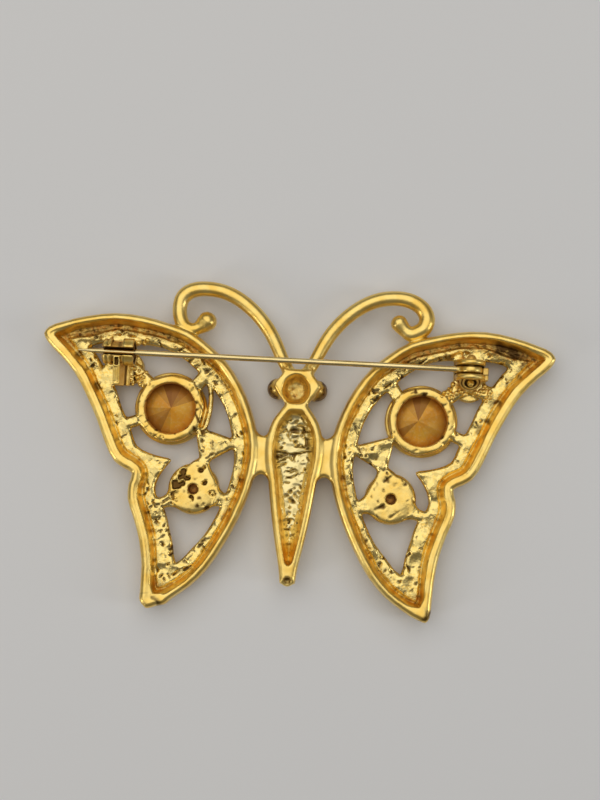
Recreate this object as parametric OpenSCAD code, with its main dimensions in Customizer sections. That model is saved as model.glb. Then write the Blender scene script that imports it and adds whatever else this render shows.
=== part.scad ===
// Butterfly brooch with its pin, lying face down with its back up.
// X runs along the wings, Y towards the antennae and Z up, away from the table.
// The origin is on the table, under the middle of the brooch.

/* [Wings] */
// Wing tip to wing tip
span = 72; // [66:1:80]
// Height of a wing, from its lower tip to its upper edge
wing_h = 41; // [37:1:46]
// Height of the raised back edge above the table
back_z = 4.4; // [4.2:0.1:5]
// Height of the front of the border above the table
front_z = 0.9; // [0.6:0.1:1.2]
// How far the border rounds in from its widest outline to its back edge
border_round = 0.65; // [0.5:0.05:1]
// Width of the raised back edge
lip_w = 0.9; // [0.6:0.05:1.1]
// Depth of the recessed web below the back edge
recess_depth = 1.6; // [1.2:0.1:2]
// Metal thickness of the recessed web
web_t = 1.2; // [0.9:0.1:1.5]
// Width of the raised border on the front
front_band_w = 3; // [2.4:0.1:3.3]
// Width of a bridge across the open field of a wing
bridge_w = 2; // [1.4:0.1:2.6]

/* [Body] */
// Length of the body, from the neck to the tail
body_len = 25.2; // [22:0.2:28]
// Width of the body
body_w = 7.2; // [6:0.1:8]
// Width of the smooth lip round the hollow of the body
body_lip = 1.15; // [0.8:0.05:1.4]
// Metal left under the hollow of the body
body_wall = 1; // [0.7:0.1:1.4]
// Width of the head across its side points
head_w = 6.6; // [6:0.1:7.4]
// Height of the head from the neck to the brow
head_h = 4.6; // [4.2:0.1:5.2]
// Width of the oval recess in the head
head_recess_w = 3.6; // [2.8:0.1:4]
// Depth of the recess in the head
head_recess_depth = 1.9; // [1.2:0.1:2.2]

// Width of the arm between the body and a wing, where it meets them
arm_w = 5.6; // [4.6:0.1:6.4]
// How far the arm narrows at its middle, on each side
arm_dip = 0.9; // [0.5:0.1:1.2]

/* [Antennae] */
// Thickness of an antenna where it is thickest
antenna_d = 1.8; // [1.4:0.05:2]
// Diameter of the ball that ends an antenna
antenna_ball_d = 2.6; // [2.1:0.1:2.8]
// Height of the middle of an antenna above the table
antenna_z = 3.1; // [2.7:0.1:3.4]

/* [Stones] */
// Diameter of a big stone
big_stone_d = 9.2; // [8.4:0.1:9.8]
// Diameter of a lower stone
lower_stone_d = 6.2; // [5.2:0.1:6.8]
// Diameter of an upper stone
upper_stone_d = 3.6; // [2.8:0.1:4.2]
// Diameter of an eye stone
eye_stone_d = 2; // [1.6:0.1:2.2]
// Wall of a stone's cup
cup_wall = 0.6; // [0.45:0.05:0.8]
// Width of the metal ring that holds a big stone, seen from the back
ring_w = 1.3; // [0.9:0.05:1.5]
// Height of the ring above the web
ring_rise = 0.5; // [0.3:0.1:0.9]
// Diameter of the air hole behind a lower stone
vent_d = 1.4; // [1:0.1:1.8]
// Gap round a stone in its cup
stone_gap = 0.06; // [0.04:0.01:0.1]

/* [Pin] */
// Diameter of the pin wire
pin_d = 0.8; // [0.6:0.05:1]
// Height of the pin above the table
pin_z = 5.4; // [5.4:0.1:6.2]
// Length of the point beyond the catch
point_out = 3.3; // [2:0.1:5]
// Length of the tapered end
taper_len = 4; // [3:0.1:6]
// Diameter of the blunt end of the point
point_d = 0.16; // [0.1:0.02:0.3]

/* [Hinge] */
// Distance of the hinge from the middle of the brooch, as a share of half the span
hinge_out = 0.664; // [0.65:0.002:0.68]
// Distance of the pin from the middle of the wings, as a share of a wing's height
pin_up = 0.307; // [0.3:0.001:0.314]
// Diameter of the rounded ears
ear_d = 4; // [3.6:0.1:4.4]
// Thickness of an ear
ear_t = 0.8; // [0.6:0.05:1]
// Diameter of the pin's knuckle between the ears
knuckle_d = 3.2; // [2.6:0.1:3.4]
// Thickness of the knuckle
knuckle_t = 1; // [0.8:0.05:1.2]
// Diameter of the rivet
rivet_d = 1; // [0.8:0.05:1.2]
// Diameter of a rivet head
rivet_head_d = 1.9; // [1.6:0.1:2.2]
// Running gap between the knuckle and what holds it
hinge_gap = 0.1; // [0.06:0.01:0.14]

/* [Catch] */
// Distance of the catch from the middle of the brooch, as a share of half the span
catch_out = 0.697; // [0.68:0.002:0.71]
// Length of the catch along the pin
catch_len = 4.6; // [4:0.1:5]
// Outer diameter of the catch's housing
housing_d = 3.8; // [3.6:0.1:4.2]
// Outer diameter of the roller inside the housing
roller_d = 2.8; // [2.6:0.1:3]
// Diameter of the way through the roller
roller_bore_d = 1.3; // [1.2:0.05:1.5]
// Width of the mouth that lets the pin in
mouth_w = 1.1; // [1.05:0.05:1.3]
// Width of the lever
lever_w = 0.95; // [0.7:0.05:1.1]
// Thickness of the lever
lever_t = 0.5; // [0.4:0.05:0.6]
// Reach of the lever from the middle of the pin
lever_len = 4.6; // [4:0.1:5]
// Slope of the lever down towards its end, in degrees
lever_slope = 12; // [8:1:15]
// Width of the slot that the lever moves in
slot_w = 1.5; // [1.3:0.05:1.7]
// Running gap between the roller and its housing
roller_gap = 0.08; // [0.05:0.01:0.12]

/* [Seats] */
// Thickness of the foot under the hinge and the catch
foot_t = 0.75; // [0.6:0.05:0.85]
// Gap between a foot and the casting that it sits on
seat_gap = 0.02; // [0:0.01:0.05]

/* [Hidden] */

gold = "#d8b04a";
old_gold = "#b98a3a";
pale_gold = "#d9cfa8";
copper = "#b9702f";
glass = "#e3c9a0";
cut = 1;             // how far a cutting tool runs past what it cuts
sides = 32;          // facets of a big cup
room_sides = 24;     // facets of a smaller cup and of the room for a stone
small_sides = 12;    // facets of the rounding at the ends and corners in the field
wall_step = 0.25;    // how far the inner wall of the border steps in at its foot
pad_step = 0.06;     // how far a pad or a plate stands proud of the web
arm_y = -0.75;       // middle of the arms between the body and the wings
inner_edge = 0.139;  // inner edge of a wing there, as a share of half the span
curve_steps = 2;     // straight pieces between two rows of an outline
field_steps = 2;     // the same for the edge of the open field

half = span / 2;
web_back = back_z - recess_depth;
web_front = web_back - web_t;
hinge_x = hinge_out * half;
catch_x = catch_out * half;
pin_y = pin_up * wing_h;

// Outline of the right wing. Columns: x as a share of half the span,
// y as a share of the wing's height, and how much of border_round applies there.
WING = [
    [0.283, 0.298, 1], [0.344, 0.346, 1], [0.428, 0.395, 1], [0.506, 0.417, 1],
    [0.611, 0.438, 1], [0.722, 0.445, 1], [0.833, 0.430, 1], [0.928, 0.406, 1],
    [0.981, 0.386, 0.8], [1.000, 0.361, 0.95], [0.983, 0.332, 0.8], [0.933, 0.290, 1],
    [0.872, 0.232, 1], [0.819, 0.154, 1], [0.772, 0.071, 1], [0.733, -0.010, 1],
    [0.697, -0.063, 1], [0.658, -0.086, 1], [0.626, -0.101, 1], [0.636, -0.137, 1],
    [0.636, -0.190, 1], [0.611, -0.249, 1], [0.583, -0.327, 1], [0.567, -0.415, 1],
    [0.561, -0.498, 0.9], [0.556, -0.539, 0.5], [0.542, -0.556, 0.6],
    [0.517, -0.551, 0.5], [0.450, -0.520, 0.9], [0.378, -0.476, 1],
    [0.311, -0.412, 1], [0.250, -0.324, 1], [0.200, -0.234, 1], [0.161, -0.137, 1],
    [0.139, -0.034, 1], [0.147, 0.059, 1], [0.175, 0.139, 1], [0.219, 0.220, 1]
];

// Open field inside the border. Columns: x as a share of half the span,
// y as a share of the wing's height. The point at the notch is the spur.
FIELD = [
    [0.233, -0.049], [0.239, 0.007], [0.250, 0.056], [0.267, 0.110],
    [0.300, 0.168], [0.350, 0.222], [0.403, 0.266], [0.461, 0.305],
    [0.528, 0.332], [0.611, 0.341], [0.722, 0.341], [0.794, 0.334],
    [0.814, 0.324], [0.794, 0.302], [0.750, 0.244], [0.706, 0.180],
    [0.683, 0.127], [0.653, 0.073], [0.633, 0.032], [0.614, -0.007],
    [0.567, -0.028], [0.517, -0.039], [0.475, -0.048], [0.497, -0.076],
    [0.522, -0.112], [0.533, -0.151], [0.519, -0.185], [0.489, -0.224],
    [0.469, -0.280], [0.450, -0.341], [0.436, -0.398], [0.383, -0.351],
    [0.333, -0.298], [0.294, -0.237], [0.261, -0.166], [0.242, -0.102]
];

// Bridges across the field. Columns: x and y of one end as shares of half the
// span and of the wing's height, its width as a share of bridge_w, and the same
// for the other end.
BRIDGES = [
    [0.397, 0.205, 0.95, 0.342, 0.273, 0.95],
    [0.564, 0.195, 1.1, 0.639, 0.249, 1.1],
    [0.681, 0.256, 1.1, 0.789, 0.217, 1.1],
    [0.597, 0.088, 0.85, 0.686, 0.059, 0.85],
    [0.372, -0.060, 0.5, 0.375, -0.110, 1.8],
    [0.340, -0.150, 1.2, 0.236, -0.190, 0.9],
    [0.450, -0.180, 0.9, 0.525, -0.203, 0.8]
];

// Corners of the leaf between the inner border, the ring and the lower plate.
// Columns: x and y as shares of half the span and of the wing's height, and the
// rounding there as a share of bridge_w.
LEAF = [[0.236, 0.017, 0.5], [0.372, 0.054, 0.7], [0.350, -0.042, 0.5]];

// Section of the border from its back edge to its front. Columns: height as a
// share of the way from front to back, inset as a share of border_round.
BORDER = [[1, 1], [0.95, 0.62], [0.82, 0.27], [0.55, 0], [0.36, 0.04],
          [0.12, 0.6], [0, 1.4]];

// Right half of the body's outline. Columns: distance from the neck as a share
// of the body's length, half width as a share of half the body's width.
BODY = [[0, 0.38], [0.052, 0.61], [0.107, 0.85], [0.187, 0.98], [0.274, 1],
        [0.433, 0.97], [0.612, 0.81], [0.790, 0.57], [0.909, 0.38],
        [1, 0.3]];

// Section of the body from back to front. Columns: height as a share of the way
// from front to back, width and length as shares of the outline.
BODY_SECTION = [[1, 0.9, 0.985], [0.93, 0.965, 0.995], [0.72, 1, 1], [0.35, 0.93, 0.985],
                [0.1, 0.68, 0.92], [0, 0.4, 0.8]];

// Middle line of the right antenna from the head to the curl. Columns: x as a
// share of half the span, y as a share of the wing's height, thickness as a
// share of antenna_d.
ANTENNA = [[0.033, 0.268, 0.9], [0.065, 0.317, 0.82], [0.092, 0.366, 0.85],
           [0.125, 0.415, 0.9], [0.175, 0.466, 0.95], [0.239, 0.512, 0.95],
           [0.306, 0.541, 0.95], [0.375, 0.549, 0.98], [0.430, 0.539, 1.03],
           [0.469, 0.514, 1.08], [0.487, 0.478, 1.1], [0.482, 0.441, 1.05],
           [0.450, 0.416, 1], [0.411, 0.416, 1], [0.379, 0.438, 1]];
antenna_sides = 9;

// Section of the head from front to back. Columns: height as a share of the way
// from front to back, inset of the outline there.
HEAD_SECTION = [[0, 0.9], [0.36, 0], [0.93, 0], [1, 0.2]];

// Blunt end of the tail. Columns: distance from the end, radius, thickness.
TAIL = [[0.5, 0.95, 1.3], [0.3, 0.75, 2]];

// Head seen from the back, right half. Columns: x as a share of half the head's
// width, y as a share of its height, both from the middle of the head.
HEAD = [[0.41, -0.56], [0.8, -0.2], [1, 0.04], [0.94, 0.14], [0.66, 0.4], [0.6, 0.56]];

// Middles of the cups, as shares of half the span and of the wing's height.
BIG_CUP = [0.491, 0.127];
LOWER_CUP = [0.385, -0.144];
UPPER_CUP = [0.672, 0.259];

neck_y = 0.168 * wing_h;             // from the middle of the wings
head_y = neck_y + 0.46 * head_h;
head_drop = 0.2;                     // how far the head lies below the back edge
eye_in = 0.55;                       // how far an eye sits inside the head's side point
eye_drop = 0.2;                      // how far it sits below the middle of the head
eye_x = head_w / 2 - eye_in;
eye_y = head_y - eye_drop;
eye_wall = 0.35;
eye_cup_h = 2;
eye_root_x = 1.5;                    // where an eye's cup grows out of the head
eye_root_rise = 0.5;                 // how far that root lies behind the front
eye_root_z = front_z + eye_root_rise;
eye_root_d = 2.4;
recess_oval = 1.15;                  // length of the head's recess as a share of its width
slice = 0.1;                         // thickness of a slice that a hull runs through
body_low = front_z - 0.2;            // front of the body above the table
body_step_z = 0.8;                   // depth at which the hollow of the body narrows
body_step = 0.3;                     // by how much it narrows there
arm_lap = 0.85;                      // how far an arm runs into the body and the wing
arm_rise = 0.8;                      // how far an arm lies behind the border's front
arm_drop = 0.35;                     // how far it lies below the back edge
arm_low = front_z + arm_rise;
arm_high = back_z - arm_drop;
dip_r = arm_dip * 1.15;
wing_top = max([for (r = ANTENNA) r[1]]) * wing_h + antenna_d / 2;
wing_bottom = min([for (r = WING) r[1]]) * wing_h;
mid_y = (wing_top + wing_bottom) / 2;

bead = antenna_ball_d / 2;
ball_at = [0.374 * half, 0.457 * wing_h, antenna_z];

crown_share = 0.17;    // crown height of a stone as a share of its radius
girdle_share = 0.05;   // girdle thickness as a share of its radius
table_share = 0.55;    // radius of the table as a share of the stone's
recessed = 0.1;        // how far a stone's table lies behind the front of its cup

big_pavilion = 2.3;    // depth of a big stone's cone behind its girdle
lower_pavilion = 1.1;
upper_pavilion = 0.7;
eye_pavilion = 0.5;
upper_cup_z = 0.3;     // front of an upper cup above the table
eye_cup_z = 0.7;
cup_lap = 0.2;         // how far a cup's wall runs into the web
upper_cup_lap = 0.45;  // the same for an upper cup
ring_lap = 0.25;       // how far the ring reaches out past the stone
plate_step = 0.15;     // how far a lower plate is smaller than its cup
hole_step = 0.3;       // how far the hole for a cup is smaller than its stone

hinge_reach = knuckle_t / 2 + hinge_gap;             // from the middle to an ear
pad_top = web_back + pad_step;
foot_top = pad_top + foot_t;
knuckle_r = min(knuckle_d / 2, pin_z - foot_top - hinge_gap);
ear_out = hinge_reach + ear_t;
catch_left = -catch_x - catch_len / 2;
catch_right = -catch_x + catch_len / 2;
tip_x = catch_left - point_out;
housing_bore = roller_d / 2 + roller_gap;
lever_root = roller_d / 2 - lever_t - 0.05;          // lever's underside over the pin
lever_reach = lever_len - mouth_w / 2;               // from the edge of the slit to its end
roller_inset = 0.2;                                  // from the roller's end to the housing's
rivet_head_t = 0.35;
pad_round = 0.4;                                     // radius of a pad's corners
pad_reach = 0.6;                                     // how far a pad shows round a foot
pad_inset = 0.2;                                     // how far it stays under its ends
foot_z = pad_top + seat_gap - pin_z;                 // underside of a foot, from the pin's line
tab = [0.9, 1.9, 1.7];                               // folded tab at the outer end of the hinge
tab_lap = 0.3;                                       // how far it runs into the ear
base_w = housing_d * 0.8;                            // foot under the round housing
base_h = housing_d * 0.3;
plate = [2, lever_len, foot_t - seat_gap];           // plate beside the catch's lever
plate_x = 0.4;                                       // how far it starts before the middle
slot_floor = -roller_d * 0.3;                        // how far down the lever's slot is cut

// Points of a flat row, without its other columns
function flat(p) = [p[0], p[1]];

// Direction of a closed outline at row i, for rows that lie unevenly apart
function heading(rows, i) =
    let (n = len(rows), a = rows[(i + n - 1) % n], b = rows[i], c = rows[(i + 1) % n],
         before = norm(flat(b - a)), after = norm(flat(c - b)))
    ((b - a) / before * after + (c - b) / after * before) / (before + after);

// Point at share t of the way from row i to the next, on a smooth curve
function between(rows, i, t) =
    let (n = len(rows), j = (i + 1) % n, l = norm(flat(rows[j] - rows[i])))
    (2 * t * t * t - 3 * t * t + 1) * rows[i] + (t * t * t - 2 * t * t + t) * l * heading(rows, i)
    + (3 * t * t - 2 * t * t * t) * rows[j] + (t * t * t - t * t) * l * heading(rows, j);

// A closed outline made smooth, with steps points for each of its rows
function smooth_loop(rows, steps) =
    [for (i = [0:len(rows) - 1]) for (s = [0:steps - 1]) between(rows, i, s / steps)];

// An open line made smooth, which keeps both its ends
function smooth_line(rows, steps) =
    let (n = len(rows))
    [for (i = [0:n - 2]) for (s = [0:steps - 1])
        let (t = s / steps, a = rows[max(i - 1, 0)], b = rows[i], c = rows[i + 1],
             d = rows[min(i + 2, n - 1)])
        0.5 * (2 * b + (c - a) * t + (2 * a - 5 * b + 4 * c - d) * t * t
               + (3 * b - a - 3 * c + d) * t * t * t),
     rows[n - 1]];

// Shares turned into millimetres, with the third column kept
function in_mm(rows) =
    [for (r = rows) len(r) == 2 ? [r[0] * half, r[1] * wing_h] : [r[0] * half, r[1] * wing_h, r[2]]];

// Unit vector that points into a loop which runs clockwise
function inward(loop, i) =
    let (n = len(loop), d = flat(loop[(i + 1) % n] - loop[(i + n - 1) % n]))
    [d[1], -d[0]] / norm(d);

// A solid skinned over rings of equal length. Seen from the first ring, all run clockwise.
module skin(rings) {
    n = len(rings[0]);
    last = len(rings) - 1;
    points = [for (ring = rings) for (p = ring) p];
    walls = [for (k = [0:last - 1]) for (i = [0:n - 1])
        let (j = (i + 1) % n)
        each [[k * n + i, (k + 1) * n + j, k * n + j],
              [k * n + i, (k + 1) * n + i, (k + 1) * n + j]]];
    top = [for (i = [0:n - 1]) i];
    bottom = [for (i = [n - 1:-1:0]) last * n + i];
    polyhedron(points, concat([top, bottom], walls), convexity = 10);
}

wing_loop = smooth_loop(in_mm(WING), curve_steps);
field_loop = smooth_loop(in_mm(FIELD), field_steps);

module wing_border() {
    skin([for (row = BORDER) [for (i = [0:len(wing_loop) - 1])
        let (p = wing_loop[i], v = inward(wing_loop, i) * row[1] * border_round * p[2])
        [p[0] + v[0], p[1] + v[1], front_z + (back_z - front_z) * row[0]]]]);
}

module wing_outline(inset) {
    offset(delta = -inset) polygon([for (p = wing_loop) flat(p)]);
}

// What is hollowed out behind the raised edge, with a sloped inner wall
module back_recess() {
    edge = border_round + lip_w;
    step = recess_depth / 2;
    for (k = [0:1])
        translate([0, 0, web_back + k * step])
            linear_extrude(step + cut) wing_outline(edge + wall_step * (1 - k));
}

module front_recess() {
    translate([0, 0, front_z - cut])
        linear_extrude(web_front - front_z + cut) wing_outline(border_round + front_band_w);
}

module bridges() {
    for (b = BRIDGES)
        hull() {
            translate([b[0] * half, b[1] * wing_h]) circle(b[2] * bridge_w / 2, $fn = small_sides);
            translate([b[3] * half, b[4] * wing_h]) circle(b[5] * bridge_w / 2, $fn = small_sides);
        }
    hull()
        for (c = LEAF)
            translate([c[0] * half, c[1] * wing_h]) circle(c[2] * bridge_w / 2, $fn = small_sides);
}

// Open field of the wing less the bridges that cross it
module field_gaps() {
    difference() {
        polygon([for (p = field_loop) flat(p)]);
        bridges();
    }
}

function girdle_z(d, z) = z + recessed + d / 2 * (crown_share + girdle_share);

// Room for a stone in a cup, open to the front
module stone_room(d, z, pavilion) {
    r = d / 2 + stone_gap;
    back = girdle_z(d, z) + stone_gap;
    rotate_extrude($fn = room_sides)
        polygon([[0, z - cut], [r, z - cut], [r, back], [0, back + pavilion + stone_gap]]);
}

module big_cup() {
    r = big_stone_d / 2 + stone_gap + cup_wall;
    ring_r = big_stone_d / 2 + ring_lap;
    difference() {
        union() {
            cylinder(r = r, h = web_front + cup_lap, $fn = sides);
            translate([0, 0, web_front])
                cylinder(r = ring_r, h = web_t + ring_rise, $fn = sides);
        }
        stone_room(big_stone_d, 0, big_pavilion);
        cylinder(r = ring_r - ring_w, h = back_z + cut, $fn = sides);
    }
}

module lower_cup() {
    r = lower_stone_d / 2 + stone_gap + cup_wall;
    difference() {
        union() {
            cylinder(r = r, h = web_front + cup_lap, $fn = room_sides);
            translate([0, 0, web_front])
                cylinder(r = r - plate_step, h = web_t + pad_step, $fn = room_sides);
        }
        stone_room(lower_stone_d, 0, lower_pavilion);
        cylinder(r = vent_d / 2, h = back_z + cut, $fn = small_sides);
    }
}

module upper_cup() {
    r = upper_stone_d / 2 + stone_gap + cup_wall;
    translate([0, 0, upper_cup_z])
        cylinder(r = r, h = web_front + upper_cup_lap - upper_cup_z, $fn = room_sides);
}

module at_cup(share, side) {
    translate([side * share[0] * half, share[1] * wing_h, 0]) children();
}

// Flat pad of the web that a finding is soldered to
module pad(x0, x1, y0, y1) {
    translate([0, 0, web_front - pad_step])
        linear_extrude(web_t + 2 * pad_step)
            hull()
                for (x = [x0 + pad_round, x1 - pad_round], y = [y0 + pad_round, y1 - pad_round])
                    translate([x, y]) circle(pad_round, $fn = small_sides);
}

module wing() {
    difference() {
        wing_border();
        back_recess();
        front_recess();
        translate([0, 0, front_z - cut])
            linear_extrude(back_z + 2 * cut) field_gaps();
    }
}

module body_shape() {
    right = smooth_line([for (r = BODY) [r[1] * body_w / 2, neck_y - r[0] * body_len]], curve_steps);
    n = len(right);
    loop = concat(right, [for (i = [n - 1:-1:0]) [-right[i][0], right[i][1]]]);
    middle = neck_y - body_len / 2;
    difference() {
        skin([for (row = BODY_SECTION) [for (p = loop)
            [p[0] * row[1], middle + (p[1] - middle) * row[2],
             body_low + (back_z - body_low) * row[0]]]]);
        translate([0, 0, back_z - body_step_z])
            linear_extrude(body_step_z + cut) offset(delta = -body_lip) polygon(loop);
        translate([0, 0, body_low + body_wall])
            linear_extrude(back_z) offset(delta = -body_lip - body_step) polygon(loop);
    }
    hull()
        for (t = TAIL)
            translate([0, neck_y - body_len + t[0], back_z - head_drop - t[2]])
                cylinder(r = t[1], h = t[2], $fn = small_sides);
}

module head_outline(inset) {
    right = [for (r = HEAD) [r[0] * head_w / 2, r[1] * head_h]];
    n = len(right);
    offset(delta = -inset)
        polygon(concat(right, [for (i = [n - 1:-1:0]) [-right[i][0], right[i][1]]]));
}

module eye_cup() {
    hull() {
        translate([eye_x, eye_y, eye_cup_z])
            cylinder(r = eye_stone_d / 2 + stone_gap + eye_wall, h = eye_cup_h, $fn = room_sides);
        translate([eye_root_x, head_y, eye_root_z])
            cylinder(r = eye_root_d / 2, h = eye_root_d / 2, $fn = room_sides);
    }
}

module head() {
    top = back_z - head_drop;
    difference() {
        union() {
            hull()
                for (row = HEAD_SECTION)
                    translate([0, head_y, front_z + (top - slice - front_z) * row[0]])
                        linear_extrude(slice) head_outline(row[1]);
            eye_cup();
            mirror([1, 0, 0]) eye_cup();
        }
        translate([0, head_y, top - head_recess_depth])
            scale([1, recess_oval, 1])
                cylinder(r = head_recess_w / 2, h = head_recess_depth + cut, $fn = room_sides);
        for (side = [-1, 1])
            translate([side * eye_x, eye_y, 0]) stone_room(eye_stone_d, eye_cup_z, eye_pavilion);
    }
}

// Ring of an antenna's tube at point i of its middle line
function tube_ring(line, i) =
    let (n = len(line), d = flat(line[min(i + 1, n - 1)] - line[max(i - 1, 0)]),
         u = [-d[1], d[0]] / norm(d), r = line[i][2] * antenna_d / 2)
    [for (k = [0:antenna_sides - 1])
        let (a = 360 * k / antenna_sides)
        [line[i][0] + u[0] * r * cos(a), line[i][1] + u[1] * r * cos(a), antenna_z + r * sin(a)]];

module antenna() {
    line = smooth_line(in_mm(ANTENNA), curve_steps);
    skin([for (i = [0:len(line) - 1]) tube_ring(line, i)]);
    translate(ball_at) sphere(bead, $fn = 14);
}

// Short arm between the body and a wing, hollowed above and below
module arm() {
    x0 = body_w / 2 - arm_lap;
    x1 = inner_edge * half + arm_lap;
    translate([0, arm_y, arm_low])
        linear_extrude(arm_high - arm_low)
            difference() {
                translate([x0, -arm_w / 2]) square([x1 - x0, arm_w]);
                for (side = [-1, 1])
                    translate([(x0 + x1) / 2, side * (arm_w / 2 - arm_dip + dip_r)])
                        circle(dip_r, $fn = room_sides);
            }
}

module hinge_pad() {
    pad(hinge_x - ear_d / 2, hinge_x + ear_d / 2,
        pin_y - ear_out - 2.5 * pad_reach, pin_y + ear_out + pad_reach);
}

module catch_pad() {
    pad(catch_x - catch_len / 2 + pad_inset, catch_x + catch_len / 2 - pad_inset,
        pin_y - lever_len + pad_inset, pin_y + base_w / 2 + pad_reach);
}

// One wing with its pad, opened up where its stones sit
module pierced_wing(side) {
    difference() {
        union() {
            wing();
            at_cup(UPPER_CUP, 1) upper_cup();
            if (side > 0)
                hinge_pad();
            else
                catch_pad();
        }
        for (c = [[BIG_CUP, big_stone_d], [LOWER_CUP, lower_stone_d]])
            at_cup(c[0], 1)
                translate([0, 0, -cut])
                    cylinder(r = c[1] / 2 - hole_step, h = back_z + 2 * cut, $fn = sides);
        at_cup(UPPER_CUP, 1) stone_room(upper_stone_d, upper_cup_z, upper_pavilion);
    }
}

module casting() {
    color(gold)
        translate([0, -mid_y, 0])
            union() {
                for (side = [-1, 1])
                    mirror([side < 0 ? 1 : 0, 0, 0]) {
                        pierced_wing(side);
                        at_cup(BIG_CUP, 1) big_cup();
                        at_cup(LOWER_CUP, 1) lower_cup();
                        antenna();
                        arm();
                    }
                body_shape();
                head();
            }
}

// Points of a regular ring in a cut stone
function stone_ring(n, r, z) = [for (k = [0:n - 1]) [r * cos(360 / n * k), r * sin(360 / n * k), z]];

// A cut stone with its table down: n sides on the table, twice as many at the girdle
module cut_stone(d, z, pavilion) {
    n = 8;
    m = 2 * n;
    r = d / 2;
    girdle = z + recessed + r * crown_share;
    tip = [0, 0, girdle_z(d, z) + pavilion];
    polyhedron(
        concat(stone_ring(n, r * table_share, z + recessed), stone_ring(m, r, girdle),
               stone_ring(m, r, girdle + r * girdle_share), [tip]),
        concat(
            [[for (k = [0:n - 1]) k]],
            [for (k = [0:n - 1]) [k, n + (2 * k + m - 1) % m, n + 2 * k]],
            [for (k = [0:n - 1]) [k, n + 2 * k, n + 2 * k + 1]],
            [for (k = [0:n - 1]) [k, n + 2 * k + 1, (k + 1) % n]],
            [for (k = [0:m - 1]) [n + k, n + m + k, n + m + (k + 1) % m, n + (k + 1) % m]],
            [for (k = [0:m - 1]) [n + m + k, n + 2 * m, n + m + (k + 1) % m]]
        ));
}

module big_stone(side) {
    color(copper)
        translate([0, -mid_y, 0]) at_cup(BIG_CUP, side) cut_stone(big_stone_d, 0, big_pavilion);
}

module lower_stone(side) {
    color(glass)
        translate([0, -mid_y, 0]) at_cup(LOWER_CUP, side) cut_stone(lower_stone_d, 0, lower_pavilion);
}

module upper_stone(side) {
    color(glass)
        translate([0, -mid_y, 0])
            at_cup(UPPER_CUP, side) cut_stone(upper_stone_d, upper_cup_z, upper_pavilion);
}

module eye_stone(side) {
    color(glass)
        translate([side * eye_x, eye_y - mid_y, 0])
            cut_stone(eye_stone_d, eye_cup_z, eye_pavilion);
}

// Places what is drawn round the pin's line: along X from the middle of the brooch
module at_pin() {
    translate([0, pin_y - mid_y, pin_z]) children();
}

module lying_y(r, from, to) {
    translate([0, to, 0]) rotate([90, 0, 0]) cylinder(r = r, h = to - from, $fn = 48);
}

module lying_x(r, from, to) {
    translate([from, 0, 0]) rotate([0, 90, 0]) cylinder(r = r, h = to - from, $fn = 48);
}

module hinge_bracket() {
    color(old_gold)
        at_pin() translate([hinge_x, 0, 0])
            difference() {
                union() {
                    for (from = [-ear_out, hinge_reach]) {
                        lying_y(ear_d / 2, from, from + ear_t);
                        translate([-ear_d / 2, from, foot_z]) cube([ear_d, ear_t, -foot_z]);
                    }
                    translate([-ear_d / 2, -ear_out, foot_z])
                        cube([ear_d, 2 * ear_out, foot_t - seat_gap]);
                    translate([ear_d / 2 - tab_lap, -ear_out, foot_z]) cube(tab);
                }
                lying_y(rivet_d / 2 + seat_gap, -ear_out - cut, ear_out + cut);
            }
}

module rivet_head() {
    translate([0, ear_out + seat_gap, 0])
        rotate([-90, 0, 0])
            cylinder(r1 = rivet_head_d / 2, r2 = rivet_head_d / 3, h = rivet_head_t, $fn = 32);
}

module hinge_rivet() {
    color(gold)
        at_pin() translate([hinge_x, 0, 0]) {
            lying_y(rivet_d / 2, -ear_out - rivet_head_t, ear_out + rivet_head_t);
            rivet_head();
            mirror([0, 1, 0]) rivet_head();
        }
}

module pin_stem() {
    taper_x = tip_x + taper_len;
    color(pale_gold)
        at_pin()
            difference() {
                union() {
                    translate([hinge_x, 0, 0]) lying_y(knuckle_r, -knuckle_t / 2, knuckle_t / 2);
                    lying_x(pin_d / 2, taper_x, hinge_x);
                    translate([tip_x, 0, 0])
                        rotate([0, 90, 0])
                            cylinder(r1 = point_d / 2, r2 = pin_d / 2, h = taper_len, $fn = 48);
                }
                translate([hinge_x, 0, 0]) lying_y(rivet_d / 2 + hinge_gap, -knuckle_t, knuckle_t);
            }
}

// Slit along the top of the catch that the pin drops through
module mouth() {
    translate([catch_left - cut, -mouth_w / 2, 0])
        cube([catch_len + 2 * cut, mouth_w, housing_d]);
}

module catch_housing() {
    color(old_gold)
        at_pin()
            difference() {
                union() {
                    lying_x(housing_d / 2, catch_left, catch_right);
                    translate([catch_left, -base_w / 2, foot_z]) cube([catch_len, base_w, base_h]);
                    translate([-catch_x - plate_x, -lever_len, foot_z]) cube(plate);
                }
                lying_x(housing_bore, catch_left - cut, catch_right + cut);
                mouth();
                translate([-catch_x - slot_w / 2, -housing_d, slot_floor])
                    cube([slot_w, 2 * housing_d, housing_d]);
            }
}

module catch_roller() {
    color(gold)
        at_pin()
            difference() {
                union() {
                    lying_x(roller_d / 2, catch_left + roller_inset, catch_right - roller_inset);
                    translate([-catch_x - lever_w / 2, -mouth_w / 2, lever_root])
                        rotate([lever_slope, 0, 0])
                            translate([0, -lever_reach, 0]) cube([lever_w, lever_reach, lever_t]);
                }
                lying_x(roller_bore_d / 2, catch_left - cut, catch_right + cut);
                mouth();
            }
}

casting();
hinge_bracket();
hinge_rivet();
pin_stem();
catch_housing();
catch_roller();
big_stone(1);  // big_stone_right
big_stone(-1);  // big_stone_left
lower_stone(1);  // lower_stone_right
lower_stone(-1);  // lower_stone_left
upper_stone(1);  // upper_stone_right
upper_stone(-1);  // upper_stone_left
eye_stone(1);  // eye_stone_right
eye_stone(-1);  // eye_stone_left
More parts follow.
